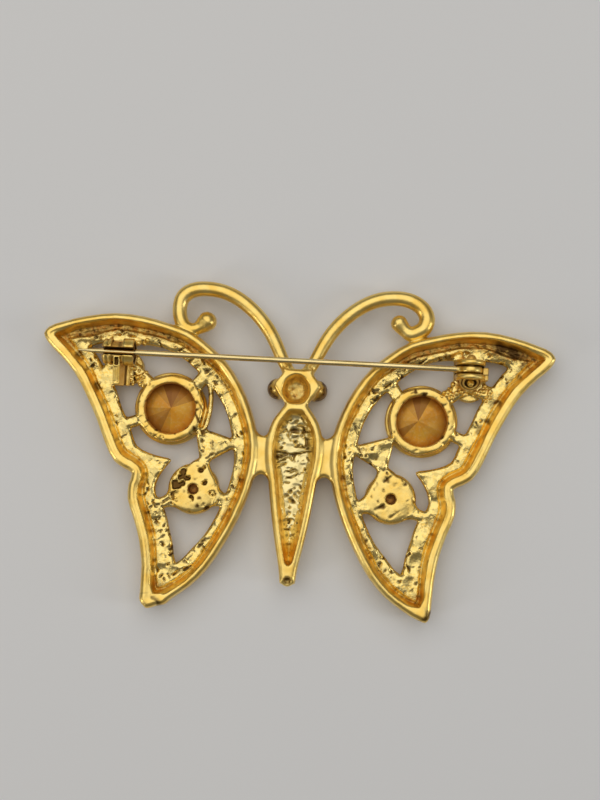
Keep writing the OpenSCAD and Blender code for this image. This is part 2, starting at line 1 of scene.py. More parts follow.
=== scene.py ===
# %% [markdown]
# # A butterfly brooch seen from its back
# The brooch lies face down, as in the photograph. Its body, wings and antennae were cast
# in one piece, and a hinge, a pin and a roller catch were soldered to the back. The packed
# model gives the true size and place of every piece; this lesson gives them their looks.

# %% Load the model
import math
from functools import reduce
from itertools import product

import bmesh
import bpy
import numpy as np
from mathutils import Matrix, Vector


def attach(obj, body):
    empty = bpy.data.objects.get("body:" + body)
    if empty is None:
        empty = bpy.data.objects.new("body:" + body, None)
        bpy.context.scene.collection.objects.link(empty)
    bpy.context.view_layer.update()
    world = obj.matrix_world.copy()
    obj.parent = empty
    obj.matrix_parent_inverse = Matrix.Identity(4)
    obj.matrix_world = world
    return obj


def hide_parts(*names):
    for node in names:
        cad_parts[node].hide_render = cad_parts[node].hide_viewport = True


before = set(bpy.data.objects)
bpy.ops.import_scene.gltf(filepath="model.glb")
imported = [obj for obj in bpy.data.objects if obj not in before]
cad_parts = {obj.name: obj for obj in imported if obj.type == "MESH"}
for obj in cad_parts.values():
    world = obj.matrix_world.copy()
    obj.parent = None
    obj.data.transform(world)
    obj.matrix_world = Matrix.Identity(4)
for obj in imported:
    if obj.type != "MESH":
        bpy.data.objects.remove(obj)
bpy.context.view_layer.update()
MM = 0.001

# %% [markdown]
# ## A shape as a field of distances
# Cast metal has no sharp edge: every corner is a little round and every joint has a fillet.
# That is hard to reach with bevels on a thousand edges. A field of distances gives it for
# nothing: each point of a fine grid says how far it lies from the surface, negative inside,
# and two shapes melt together where their distances are nearly the same. So the shapes
# are written as sums here, and one function draws the skin where the distance is nought.

# %% Melting, carving and ramps
def melt(a, b, soft):
    """Both shapes together, with a fillet of about soft millimetres between them."""
    h = np.clip(0.5 + 0.5 * (b - a) / soft, 0, 1)
    return b + (a - b) * h - soft * h * (1 - h)


def common(a, b, soft):
    """What lies in both shapes, with its edge rounded."""
    return -melt(-a, -b, soft)


def ramp(x, low, high):
    """A smooth step from 0 at low to 1 at high."""
    t = np.clip((x - low) / (high - low), 0, 1)
    return t * t * (3 - 2 * t)


def between(a, b, share):
    return a + (b - a) * share


print("half way up a ramp:", ramp(0.5, 0, 1))

# %% Distances to lines and outlines
def to_line(x, y, a, b):
    """Distance to a straight line from a to b, and the share of the way along it."""
    dx, dy = b[0] - a[0], b[1] - a[1]
    t = np.clip(((x - a[0]) * dx + (y - a[1]) * dy) / (dx * dx + dy * dy), 0, 1)
    return np.hypot(x - a[0] - t * dx, y - a[1] - t * dy), t


def to_outline(x, y, loop):
    """Distance to a closed outline, negative inside it."""
    nearest = np.full(x.shape, 1e3)
    inside = np.zeros(x.shape, bool)
    for a, b in zip(loop, np.roll(loop, -1, axis=0)):
        nearest = np.minimum(nearest, to_line(x, y, a, b)[0])
        level = (a[1] > y) != (b[1] > y)
        if level.any():
            inside ^= level & (x < a[0] + (b[0] - a[0]) * (y - a[1]) / (b[1] - a[1]))
    return np.where(inside, -nearest, nearest)


def to_rod(x, y, a, b, ra, rb):
    """Distance to a rod whose radius goes from ra to rb."""
    d, t = to_line(x, y, a, b)
    return d - between(ra, rb, t)


def to_block(place, low, high, corner=0.08):
    """Distance to a rectangle or a block with rounded edges, from 2 or 3 coordinates."""
    parts = [np.abs(v - (a + b) / 2) - (b - a) / 2 + corner for v, a, b in zip(place, low, high)]
    out = np.sqrt(sum(np.maximum(p, 0) ** 2 for p in parts))
    return out + np.minimum(reduce(np.maximum, parts), 0) - corner


def smooth_loop(rows, steps=2):
    """A closed outline through its rows, with steps straight pieces between two of them."""
    rows = np.array(rows, float)
    back, ahead = np.roll(rows, 1, axis=0), np.roll(rows, -1, axis=0)
    before = np.linalg.norm(rows - back, axis=1)[:, None]
    after = np.linalg.norm(ahead - rows, axis=1)[:, None]
    heading = ((rows - back) / before * after + (ahead - rows) / after * before) / (before + after)
    out = []
    for i in range(len(rows)):
        j = (i + 1) % len(rows)
        for t in np.arange(steps) / steps:
            out.append((2 * t**3 - 3 * t**2 + 1) * rows[i]
                       + (t**3 - 2 * t**2 + t) * after[i] * heading[i]
                       + (3 * t**2 - 2 * t**3) * rows[j] + (t**3 - t**2) * after[i] * heading[j])
    return np.array(out)


def smooth_line(rows, steps=3):
    """An open line through its rows, which keeps both its ends."""
    rows = np.array(rows, float)
    padded = np.vstack([rows[:1], rows, rows[-1:]])
    out = []
    for a, b, c, d in zip(padded, padded[1:], padded[2:], padded[3:]):
        for t in np.arange(steps) / steps:
            out.append(0.5 * (2 * b + (c - a) * t + (2 * a - 5 * b + 4 * c - d) * t**2
                              + (3 * b - a - 3 * c + d) * t**3))
    return np.array(out + [rows[-1]])


print("a smooth loop through 4 rows:", len(smooth_loop([(0, 0), (0, 1), (1, 1), (1, 0)])), "points")

# %% [markdown]
# ## Rough metal
# The floors of the wings and the hollow of the body were never polished. They keep the
# skin of the mould: lumps, wrinkles and gas pits. Value noise makes it, from a table of
# random numbers with a fixed seed, so every run gives the same brooch.

# %% Lumps and pits
def lumps(x, y, size, seed):
    """Smooth noise from -1 to 1 whose lumps are about size millimetres wide."""
    table = np.random.default_rng(seed).random((97, 89)) * 2 - 1
    u, v = x / size + 50.5, y / size + 50.5
    i, j = np.floor(u).astype(int), np.floor(v).astype(int)
    s, t = ramp(u - i, 0, 1), ramp(v - j, 0, 1)
    pick = lambda a, b: table[(i + a) % 97, (j + b) % 89]
    return between(between(pick(0, 0), pick(1, 0), s), between(pick(0, 1), pick(1, 1), s), t)


def pits(x, y, size, seed, few=0.45):
    """1 at the bottom of scattered pits, and 0 between them."""
    return ramp(lumps(x, y, size, seed), few, few + 0.5)


def dents(x, y, size, seed, few=0.55):
    """1 at the bottom of short slanting dents, and 0 between them."""
    leaning = pits(0.8 * x + 0.6 * y, 1.3 * x - 1.7 * y, size, seed, few)
    return np.maximum(leaning, pits(0.5 * x - 0.85 * y, 1.9 * x + 1.1 * y, size, seed + 1, few))


def grooves(x, y, size, seed):
    """1 along short wandering grooves, and 0 between them."""
    line = ramp(0.2 - np.abs(lumps(x, 1.8 * y, size, seed)), 0, 0.16)
    return line * ramp(lumps(x, y, size, seed + 1), -0.15, 0.25)


print("lumps at one place:", round(float(lumps(np.array([1.0]), np.array([2.0]), 0.8, 3)[0]), 3))

# %% [markdown]
# ## The skin of a field
# The grid is cut into small cubes. Each cube that the surface crosses gets one corner, at
# the mean of the places where the surface cuts its edges, and each cut edge gets a face
# between the four cubes round it. This gives even, closed, four-sided faces.

# %% Draw the skin
def skin_of(field, corner, step):
    """Corners, faces, and the cubes of the corners, of the surface where the field is nought."""
    full = field < 0
    near = slice(None, -1), slice(1, None)
    count = sum(full[eighth].astype(np.int8) for eighth in product(near, repeat=3))
    crossed = (count > 0) & (count < 8)
    cubes = np.argwhere(crossed)
    number = np.full(crossed.shape, -1, np.int32)
    number[crossed] = np.arange(len(cubes))
    total, cuts, faces = np.zeros((len(cubes), 3)), np.zeros(len(cubes)), []
    for axis in range(3):
        u, v, along = (np.eye(3, dtype=int)[(axis + turn) % 3] for turn in (1, 2, 0))
        for a, b in product((0, 1), repeat=2):
            start = a * u + b * v
            f0, f1 = (field[tuple((cubes + end).T)] for end in (start, start + along))
            cut = (f0 < 0) != (f1 < 0)
            t = np.where(cut, f0 / np.where(cut, f0 - f1, 1), 0)
            total += cut[:, None] * (start + t[:, None] * along)
            cuts += cut
        low, high = [slice(None)] * 3, [slice(None)] * 3
        low[axis], high[axis] = near
        p = np.argwhere(full[tuple(low)] != full[tuple(high)])
        quad = np.stack([number[tuple((p - shift).T)] for shift in (u + v, v, 0, u)], axis=1)
        outward = full[tuple(p.T)]
        faces.append(np.where(outward[:, None], quad, quad[:, ::-1]))
    return (cubes + total / cuts[:, None]) * step + corner, np.vstack(faces), cubes


def grid(low, high, step):
    """Coordinates of a grid of points, as three arrays that spread over each other."""
    x, y, z = (np.arange(a, b + step, step) for a, b in zip(low, high))
    return x[:, None, None], y[None, :, None], z[None, None, :]


def make_mesh(name, corners, faces):
    """A mesh from corners in millimetres and faces with four corners each."""
    mesh = bpy.data.meshes.new(name)
    mesh.vertices.add(len(corners))
    mesh.vertices.foreach_set("co", (corners * MM).astype(np.float32).ravel())
    mesh.loops.add(faces.size)
    mesh.loops.foreach_set("vertex_index", faces.astype(np.int32).ravel())
    mesh.polygons.add(len(faces))
    mesh.polygons.foreach_set("loop_start", np.arange(len(faces), dtype=np.int32) * 4)
    mesh.polygons.foreach_set("use_smooth", np.ones(len(faces), bool))
    mesh.update(calc_edges=True)
    return mesh


def add_object(name, data):
    made = bpy.data.objects.new(name, data)
    bpy.context.collection.objects.link(made)
    return made


def add_piece(name, mesh, material, body, slot, *nodes):
    """A piece that moves with a body and stands for nodes of the packed model."""
    piece = add_object(name, mesh)
    if material:
        mesh.materials.append(material)
    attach(piece, body)
    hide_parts(*nodes)


def add_marks(mesh, marks):
    """Stores a number for each corner, which a material reads by its name."""
    for name, values in marks.items():
        layer = mesh.attributes.new(name, "FLOAT", "POINT")
        layer.data.foreach_set("value", np.asarray(values, np.float32))


ball = np.sqrt(sum(v**2 for v in grid((-1.3,) * 3, (1.3,) * 3, 0.2))) - 1
print("a ball has", len(skin_of(ball, -1.3, 0.2)[1]), "faces")

# %% [markdown]
# ## Outlines of the casting
# These are the outlines that the solid model uses, as shares of half the span and of the
# height of a wing. The brooch is alike left and right, so each table holds one half, and
# the distances are taken with the sign of x left away.

# %% Sizes and tables
HALF, WING_H = 36.0, 41.0      # half the span and the height of a wing, in millimetres
MID_Y = 0.3065                 # the tables count y from a line this far above the origin
BACK, FRONT = 4.4, 0.9         # heights of the border's back edge and of its front
PIN_Y, PIN_Z = 12.587, 5.4     # line of the pin
HINGE_X, CATCH_X = 23.904, 25.092

# Outline of a wing. Columns: x, y.
WING = [(0.283, 0.298), (0.344, 0.346), (0.428, 0.395), (0.506, 0.417), (0.611, 0.438),
        (0.722, 0.445), (0.833, 0.430), (0.928, 0.406), (0.981, 0.386), (1.000, 0.361),
        (0.983, 0.332), (0.933, 0.290), (0.872, 0.232), (0.819, 0.154), (0.772, 0.071),
        (0.733, -0.010), (0.697, -0.063), (0.658, -0.086), (0.626, -0.101), (0.636, -0.137),
        (0.636, -0.190), (0.611, -0.249), (0.583, -0.327), (0.567, -0.415), (0.561, -0.498),
        (0.556, -0.539), (0.542, -0.556), (0.517, -0.551), (0.450, -0.520), (0.378, -0.476),
        (0.311, -0.412), (0.250, -0.324), (0.200, -0.234), (0.161, -0.137), (0.139, -0.034),
        (0.147, 0.059), (0.175, 0.139), (0.219, 0.220)]
# Edge of the open field inside the border. Columns: x, y.
FIELD = [(0.233, -0.049), (0.239, 0.007), (0.250, 0.056), (0.267, 0.110), (0.300, 0.168),
         (0.350, 0.222), (0.403, 0.266), (0.461, 0.305), (0.528, 0.332), (0.611, 0.341),
         (0.722, 0.341), (0.794, 0.334), (0.814, 0.324), (0.794, 0.302), (0.750, 0.244),
         (0.706, 0.180), (0.683, 0.127), (0.653, 0.073), (0.633, 0.032), (0.614, -0.007),
         (0.567, -0.028), (0.517, -0.039), (0.475, -0.048), (0.497, -0.076), (0.522, -0.112),
         (0.533, -0.151), (0.519, -0.185), (0.489, -0.224), (0.469, -0.280), (0.450, -0.341),
         (0.436, -0.398), (0.383, -0.351), (0.333, -0.298), (0.294, -0.237), (0.261, -0.166),
         (0.242, -0.102)]
# Bridges across the field. Columns: x, y and radius in mm of one end, and of the other.
BRIDGES = [(0.397, 0.205, 0.95, 0.342, 0.273, 0.95), (0.564, 0.195, 1.1, 0.639, 0.249, 1.1),
           (0.681, 0.256, 1.1, 0.789, 0.217, 1.1), (0.597, 0.088, 0.85, 0.686, 0.059, 0.85),
           (0.372, -0.060, 0.5, 0.375, -0.110, 1.8), (0.340, -0.150, 1.2, 0.236, -0.190, 0.9),
           (0.450, -0.180, 0.9, 0.525, -0.203, 0.8)]
LEAF, LEAF_ROUND = [(0.236, 0.017), (0.372, 0.054), (0.350, -0.042)], 0.6
# Rods that make the tip of the left lower wing blunt. Columns: x and y of the start and of
# the end, the radius at each, and how softly the rod melts in, in mm.
TIP_RODS = [(-19.1, -17.5, -19.05, -21.2, 1.3, 1.4, 0.2),
            (-19.05, -21.2, -17.5, -20.8, 1.4, 1.3, 0.2),
            (-17.5, -20.8, -14.8, -18.9, 1.3, 0.7, 0.6)]
# Middle line of an antenna up to its hook. Columns: x, y, and radius in mm.
ANTENNA = [(0.033, 0.268, 0.86), (0.065, 0.317, 0.9), (0.092, 0.366, 0.95), (0.125, 0.415, 0.98),
           (0.175, 0.466, 1.0), (0.239, 0.510, 1.02), (0.306, 0.536, 1.04),
           (0.375, 0.5435, 1.05), (0.430, 0.535, 1.08)]
# The hooks were bent by hand. Columns: x and y, and radius, in mm. The last row is the ball.
HOOKS = {"right": [(17.0, 21.0, 1.1), (17.7, 19.6, 1.12), (17.35, 18.3, 1.12), (16.4, 17.65, 1.08),
                   (15.5, 17.35, 1.05), (14.6, 17.9, 1.0), (13.85, 18.75, 1.2)],
         "left": [(16.7, 20.95, 1.08), (17.1, 19.5, 1.02), (16.9, 17.9, 1.0), (16.2, 16.8, 0.95),
                  (15.2, 16.45, 0.9), (14.2, 16.8, 0.95), (13.2, 17.65, 1.4)]}
# Right half of the body. Columns: distance from the neck and half width, in mm.
BODY = [(0, 1.4), (1.31, 2.35), (2.7, 3.25), (4.71, 3.85), (6.9, 4.0), (8.9, 3.8), (10.91, 3.42),
        (15.42, 2.8), (19.91, 2.0), (22.91, 1.37), (25.2, 1.08)]
# Right half of the head. Columns: x and y from its middle, in mm.
HEAD = [(1.35, -2.58), (2.64, -0.92), (3.3, 0.18), (3.1, 0.64), (2.18, 1.84), (1.98, 2.58)]
NECK_Y, HEAD_Y = 6.89, 9.0
# Middles of the cups on the right side, of the recess in the head, and of the lower tip.
BIG, LOWER, UPPER, EYE = (17.68, 5.21), (13.86, -5.9), (24.19, 10.62), (2.75, 8.8)
RECESS, TIP = (-0.15, 8.65), (19.3, -22.8)
BIG_STONE_R, PLATE_R, NECK_END = 4.6, 3.5, (12.9, -3.3)
RING_IN, RING_MID, RING_HALF, RING_OUT = 3.5, 4.06, 0.62, 4.45   # radii, and half its width
# Cups of the stones. Columns: middle, bottom and top of the wall, radius of the stone, and
# the heights of its girdle and of its tip, in mm.
CUPS = [(BIG, 0, 1.9, BIG_STONE_R, 1.17, 3.53), (LOWER, 0, 1.8, 3.1, 0.84, 2.0),
        (UPPER, 0.3, 2.05, 1.8, 0.86, 1.62)]
# A thin fin of metal in the opening beside the left ring. Columns: x and y in mm.
FIN = [(-13.4, 10.2), (-12.5, 9.1), (-12.1, 7.4), (-12.1, 5.6), (-12.35, 4.0), (-12.8, 2.4)]
# Deep dents of the left lower plate. Columns: x and y from its middle, and radius, in mm.
PLATE_DENTS = [(-1.4, 2.0, 0.75), (-2.4, 0.3, 0.8), (-3.0, -0.9, 0.5), (-1.2, 0.3, 0.45),
               (1.0, 2.9, 0.45), (1.8, 1.3, 0.4), (2.9, -0.6, 0.4), (0.1, -1.5, 0.35),
               (2.4, -2.3, 0.4)]


def in_mm(rows):
    return np.array([(r[0] * HALF, r[1] * WING_H) for r in rows])


print("wing outline:", len(smooth_loop(in_mm(WING))), "points")

# %% [markdown]
# ## The flat plan
# Most of the casting is a relief: what matters is how far a place lies from the outline,
# from the openings and from the rings. These distances need only a flat grid, which is
# quick, and the height of the back is worked out from them.

# %% Plan of a wing
STEP = 0.145
LOW, HIGH = (-36.4, -23.2, -0.3), (36.4, 23.9, 4.75)
gx, gy, gz = grid(LOW, HIGH, STEP)
px, py = np.broadcast_arrays(gx[:, :, 0], gy[:, :, 0])
side = np.abs(px)
right = px > 0


def away_from(middle):
    """Distance to a place that both halves have."""
    return np.hypot(side - middle[0], py - middle[1])


wing_d = to_outline(side, py, smooth_loop(in_mm(WING)))
for x0, y0, x1, y1, r0, r1, soft in TIP_RODS:
    wing_d = melt(wing_d, to_rod(px, py, (x0, y0), (x1, y1), r0, r1), soft)
field_d = to_outline(side, py, smooth_loop(in_mm(FIELD)))
big_r, lower_r = away_from(BIG), away_from(LOWER)
plate_d = melt(lower_r - PLATE_R, to_rod(side, py, LOWER, NECK_END, 2.2, 1.3), 0.8)
hinge_pad = to_block((px, py), (HINGE_X - 2, PIN_Y - 2.9), (HINGE_X + 2, PIN_Y + 2), 0.4)
catch_pad = to_block((px, py), (-CATCH_X - 2.1, PIN_Y - 4.4), (-CATCH_X + 2.1, PIN_Y + 2.1), 0.4)
pad_d = np.where(right, hinge_pad, catch_pad)
islands = to_outline(side, py, in_mm(LEAF)) - LEAF_ROUND
for x0, y0, r0, x1, y1, r1 in BRIDGES:
    start, end = in_mm([(x0, y0), (x1, y1)])
    islands = melt(islands, to_rod(side, py, start, end, r0, r1), 0.5)
for island, soft in ((big_r - RING_OUT, 0.35), (plate_d, 1.1), (pad_d, 0.35)):
    islands = melt(islands, island, soft)
gap_d = common(field_d, -islands, 0.4)
print("plan:", px.shape, "points; open share of a wing:",
      round(float((gap_d < 0).sum() / (wing_d < 0).sum()), 3))

# %% Zones of the back of a wing
def bumps(size, seed):
    """Lumps over the whole plan."""
    return lumps(px, py, size, seed)


# Shares from 0 to 1: the outer border, the upper border, the channel, the floor, its edge.
deep = -wing_d
outer_d = np.where(py > 0, 0.62 * (side - 14) - 0.785 * py, side + 0.24 * py - 14)
outer_share = ramp(outer_d, -2, 2)
top_share = ramp(py, 10.5, 13.5) * ramp(side, 9, 13) * (1 - outer_share)
tip_away = away_from(TIP)
lip_foot = 1.65 + 0.35 * outer_share + 0.9 * ramp(3.8 - tip_away, 0, 2.5) + 0.06 * bumps(2.2, 18)
channel_end = lip_foot + (0.45 + 0.5 * ramp(side, 26, 29)) * top_share
floor_mask = ramp(deep, channel_end, channel_end + 0.4)
channel_mask = ramp(deep, lip_foot - 0.3, lip_foot) * (1 - floor_mask)
floor_edge = 1 - ramp(deep, channel_end + 0.6, channel_end + 1.3)
print("share of the floor:", round(float(floor_mask[wing_d < 0].mean()), 3))

# %% Height of the back of a wing
CHANNEL_Z, FLOOR_Z, DRAG_PITCH = 2.55, 2.95, 0.62

# Pits and lumps of the floor, ridges at its edge, and drag lines on the slope of the lip.
few_pits = 0.5 + np.where(right | (py > -6), 0.12, -0.06) * outer_share + 0.22 * bumps(4.0, 20)
wing_pits = dents(px, py, 0.85, 11, few_pits) * floor_mask
wing_lumps = 0.17 * bumps(1.7, 12) + 0.08 * bumps(0.8, 13)
slope = ramp(deep, lip_foot - 0.7, lip_foot + 0.05) ** 1.4
wing_top = between(BACK - 0.2 * ramp(deep, 0.6, lip_foot), CHANNEL_Z, slope)
wing_top = between(wing_top, FLOOR_Z, floor_mask)
wing_top = wing_top + floor_mask * wing_lumps - 0.28 * wing_pits
wing_top = wing_top + channel_mask * (0.13 * bumps(0.7, 14) + 0.08 * bumps(0.4, 10))
wing_top = wing_top + floor_mask * floor_edge * top_share * (0.12 + 0.22 * bumps(1.0, 16))
drag_lines = np.sin(math.tau * (deep + 0.12 * bumps(3.0, 4)) / DRAG_PITCH)
wing_top = wing_top + (0.055 * drag_lines * ramp(deep, 0.8, 1.1) * (1 - floor_mask)
                       * ramp(tip_away, 3, 5))
print("back of a wing from", round(float(wing_top[wing_d < 0].min()), 2), "to",
      round(float(wing_top[wing_d < 0].max()), 2), "mm")

# %% Tarnish, soot and painted shade of a wing
fading = 0.5 + 0.7 * bumps(2.6, 19) + 0.5 * top_share
stain = ramp(deep, lip_foot - 0.25, lip_foot) * (0.5 + 0.5 * top_share) * (1 - floor_mask)
stain = stain + (np.clip(fading, 0, 1) * floor_mask
                 * (1 - ramp(deep, channel_end + 0.2, channel_end + 1.3)))
tip_stain = 0.9 * ramp(6 - tip_away, 0, 3) * ramp(deep, lip_foot - 0.3, lip_foot)
stain = np.maximum(stain, tip_stain)
# Soot and painted shade: the upper channel lies in the shade of the upper border and is painted
# dark and mottled; dark spots follow near the floor's edge and at the tip.
dark_patch = np.where(right, ramp(side, 26, 28) * (1 - ramp(side, 31.5, 34)), 0)
soot_and_shade = top_share * channel_mask * (0.05 + 0.4 * bumps(1.6, 9)
                                   + 0.5 * dark_patch * (1 + 1.2 * bumps(0.8, 5)))
spots = pits(px, py, 0.9, 27, 0.05) * ramp(deep, lip_foot - 0.4, lip_foot - 0.1)
soot_and_shade = np.maximum(soot_and_shade, 0.6 * (spots * floor_edge * outer_share) * ramp(py, 0, 4))
soot_and_shade = np.maximum(soot_and_shade, 0.7 * pits(px, py, 0.9, 28, 0.0) * ramp(2.8 - tip_away, 0, 1))
print("darkest soot:", round(float(soot_and_shade.max()), 2))

# %% The lower plates and the front
PLATE_Z, WEB_FRONT = 2.98, 1.6

plate_mask = ramp(-plate_d, -0.1, 0.25)
plate_pits = dents(px, py, 1.1, 17, np.where(right, 0.5, 0.6))
for dent_x, dent_y, dent_r in PLATE_DENTS:
    away = np.hypot(px + LOWER[0] - dent_x, py - LOWER[1] - dent_y) + 0.6 * bumps(0.6, 8)
    dent = ramp(dent_r + 0.15 - away, 0, 0.35) * ramp(bumps(0.6, 7), -0.35, 0.2)
    plate_pits = np.maximum(plate_pits, dent)
plate_pits = plate_pits * plate_mask
plate_top = PLATE_Z + 0.05 * bumps(1.4, 15) + 0.1 * ramp(3.4 - lower_r, 0, 2.5)
wing_top = between(wing_top, plate_top - np.where(right, 0.15, 0.4) * plate_pits, plate_mask)
wing_bottom = between(FRONT, WEB_FRONT, ramp(deep, 3.6, 3.9))
print("deepest dent of a plate:", round(float(plate_pits.max()), 2))

# %% Plan of the body, the head and the antennae
HOLLOW_EDGE, HOLLOW_END_Y = 0.9, -16.0
ARCH_Y, ARCH_HALF, ARCH_H = 1.5, 3.25, 4.55    # the round upper end of the hollow
RECESS_HALF, RECESS_H = 1.78, 2.02
ARM_X, ARM_HALF, ARM_Y = 4.3, 1.6, -0.65


def to_mirrored(half):
    """Distance to an outline that is alike left and right, from its right half."""
    return to_outline(px, py, np.vstack([half, half[::-1] * (-1, 1)]))


body_d = to_mirrored(smooth_line([(w, NECK_Y - y) for y, w in BODY], 2))
body_deep = -body_d
arch = (np.hypot(px / ARCH_HALF, np.maximum(py - ARCH_Y, 0) / ARCH_H) - 1) * 3.0
hollow_d = common(common(HOLLOW_EDGE - body_deep, arch, 0.2), HOLLOW_END_Y - py, 0.9)
hollow_mask = ramp(-hollow_d, 0, 0.5)
body_pits = np.maximum(dents(px, py * 1.2, 0.75, 21, 0.45), grooves(px, py, 1.3, 24))
dark_top = ramp(1.3 - np.hypot(px + 0.1, 1.1 * (py - 2.6)), 0, 0.8)
body_pits = np.maximum(body_pits, dark_top * pits(px, py, 0.7, 26, -0.4))
body_pits = body_pits * ramp(body_deep, 1.2, 1.7) * hollow_mask * (1 - 0.5 * ramp(-py, 10.5, 13))
hammer = 0.1 * bumps(1.5, 22) + 0.1 * lumps(px * 0.8, py * 1.4, 0.7, 23)
body_floor = (2.9 - 0.5 * ramp(body_deep, 1.4, 2.1)
              - 0.5 * ramp(-py, 8, 15) * ramp(body_deep, 1.2, 2.2))
body_top = between(BACK, body_floor, hollow_mask) + hollow_mask * hammer - 0.42 * body_pits
head_d = to_mirrored(np.array(HEAD) + (0, HEAD_Y))
recess_d = np.hypot((px - RECESS[0]) / RECESS_HALF, (py - RECESS[1]) / RECESS_H)
recess_d = (recess_d - 1) * 1.8      # in mm near its edge, as with the arch above
arm_waist = 3.5 - 0.8 * np.cos(np.clip((side - 4.4) / 1.6, -1, 1) * math.pi / 2) ** 2
arm_d = common(np.abs(py - ARM_Y) - arm_waist, np.abs(side - ARM_X) - ARM_HALF, 0.2)
antenna_d = np.full(px.shape, 50.0)
antenna_r = np.zeros(px.shape)
for sign, hook in ((1, HOOKS["right"]), (-1, HOOKS["left"])):
    feeler = smooth_line([(x * HALF, y * WING_H, r) for x, y, r in ANTENNA] + hook)
    for a, b in zip(feeler, feeler[1:]):
        d, t = to_line(sign * px, py, a, b)
        radius = between(a[2], b[2], t)
        nearer = d - radius < antenna_d - antenna_r
        antenna_d = np.where(nearer, d, antenna_d)
        antenna_r = np.where(nearer, radius, antenna_r)
print("antenna:", len(feeler), "points, thickest", round(2 * float(antenna_r.max()), 2), "mm")

# %% [markdown]
# ## The casting as one field
# Now the heights come in. Each part of the casting is the space between its bottom and its
# top, inside its outline, and the outline moves in a little with the height, because the
# border is round. Then the parts are melted together, and the rooms of the stones are cut.

# %% Wings in the round
# How far an outline moves in at each height. Columns: height and inset, in mm.
BORDER = [(0.9, 0.9), (1.32, 0.39), (2.16, 0.03), (2.83, 0), (3.77, 0.12), (4.22, 0.3), (4.4, 0.5)]
BODY_SIDE = [(0.7, 2.2), (1.07, 1.15), (2.0, 0.25), (3.36, 0), (4.14, 0.12), (4.4, 0.36)]
HEAD_SIDE = [(0.9, 0.9), (2.1, 0), (4.0, 0), (4.2, 0.2)]
CUP_WALL, PLAY = 0.68, 0.06    # of a stone in its cup
RING_Z, PAD_Z, PAD_HALF, VENT_R = 3.22, 2.2, 0.66, 0.7
FIN_Z, FIN_R = 2.0, 0.36


def flat(plan):
    return plan[:, :, None].astype(np.float32)


def inset(rows):
    heights, insets = zip(*rows)
    return np.interp(gz, heights, insets).astype(np.float32)


def layer(middle, half):
    """Distance to the space between two heights."""
    return np.abs(gz - middle) - half


def cup(middle, low, high, stone_r, girdle, apex):
    """A cup with the room for its stone, which is open to the front."""
    radius = flat(away_from(middle))
    wall_t = CUP_WALL - PLAY * np.minimum(stone_r, 3)
    wall = common(common(radius - stone_r - wall_t, gz - high, 0.25), low - gz, 0.15)
    cone = gz - girdle - (apex - girdle) * (1 - radius / (stone_r + PLAY))
    return wall, np.maximum(radius - stone_r - PLAY, cone)


wings = common(flat(wing_d) + inset(BORDER), gz - flat(wing_top), 0.35)
wings = common(wings, flat(wing_bottom) - gz, 0.25)
wings = common(wings, -flat(gap_d), 0.75)
ring_top = RING_Z + 0.07 * bumps(1.3, 31) - 0.25 * dents(px, py, 0.9, 32, 0.62)
ring = common(np.abs(flat(big_r) - RING_MID) - RING_HALF + flat(0.12 * bumps(1.8, 33)),
              gz - flat(ring_top), 0.5)
wings = melt(wings, common(ring, 1.0 - gz, 0.3), 0.45)
wings = melt(wings, common(flat(pad_d), layer(PAD_Z, PAD_HALF), 0.2), 0.3)
for row in CUPS:
    wall, room = cup(*row)
    wings = common(melt(wings, wall, 0.15), -room, 0.08)
wings = common(wings, RING_IN - flat(big_r), 0.35)
wings = common(wings, VENT_R - flat(lower_r), 0.2)
fin_line = smooth_line(FIN)
fin_d = np.min([to_line(px, py, a, b)[0] for a, b in zip(fin_line, fin_line[1:])], axis=0)
fin = np.sqrt(flat(fin_d) ** 2 + (0.5 * (gz - FIN_Z)) ** 2) - FIN_R
wings = melt(wings, fin, 0.25)
print("wings in the round:", wings.shape)

# %% Body, head, arms and antennae in the round
TAIL_Y, TAIL_Z, TAIL_R = -17.75, 3.3, 0.98
TAIL_DENT_Y, TAIL_DENT_Z, TAIL_DENT_R = -17.9, 4.35, 0.5
EYE_Z, EYE_R, EYE_CUP = 1.2, 1.5, (0.7, 2.7, 1.0, 1.08, 1.64)
ANTENNA_Z = 3.1

body = common(flat(body_d) + inset(BODY_SIDE), gz - flat(body_top), 0.4)
body = common(body, 0.7 - gz, 0.3)
tail = np.sqrt(gx**2 + (gy - TAIL_Y) ** 2 + (0.8 * (gz - TAIL_Z)) ** 2) - TAIL_R
body = melt(body, common(tail, gz - 4.2, 0.2), 0.3)
tail_dent = np.sqrt(gx**2 + (gy - TAIL_DENT_Y) ** 2 + (gz - TAIL_DENT_Z) ** 2)
body = common(body, TAIL_DENT_R - tail_dent, 0.2)
head = common(flat(head_d) + inset(HEAD_SIDE), layer(2.55, 1.65), 0.3)
eye_root = to_rod(side, py, EYE, (1.5, HEAD_Y), 0, 0)
eye_dome = np.sqrt(flat(eye_root) ** 2 + (0.75 * (gz - EYE_Z)) ** 2) - EYE_R
head = melt(head, common(eye_dome, 0.75 - gz, 0.15), 0.25)
head = common(head, -cup(EYE, *EYE_CUP)[1], 0.08)
bowl = 2.35 + 1.5 * ramp(recess_d, -1.3, 0.3) ** 2
recess_floor = flat(bowl + 0.14 * bumps(0.9, 41) + 0.08 * bumps(0.4, 42))
head = common(head, -common(flat(recess_d) - 0.1, recess_floor - gz, 0.3), 0.25)
arms = common(flat(arm_d), layer(2.85, 1.2), 0.7)
antennae = np.sqrt(flat(antenna_d) ** 2 + (gz - ANTENNA_Z) ** 2) - flat(antenna_r)

casting = melt(wings, antennae, 0.35)
casting = melt(casting, melt(melt(body, head, 0.3), arms, 0.4), 0.4)
casting_corners, casting_faces, casting_cubes = skin_of(casting, np.array(LOW), STEP)
print("casting:", len(casting_corners), "corners and", len(casting_faces), "faces")

# %% [markdown]
# ## Materials as sums
# A material is a small drawing of nodes. Written out one by one it fills pages, so a
# socket is wrapped in a class here, and sums and products on it add the Math nodes.

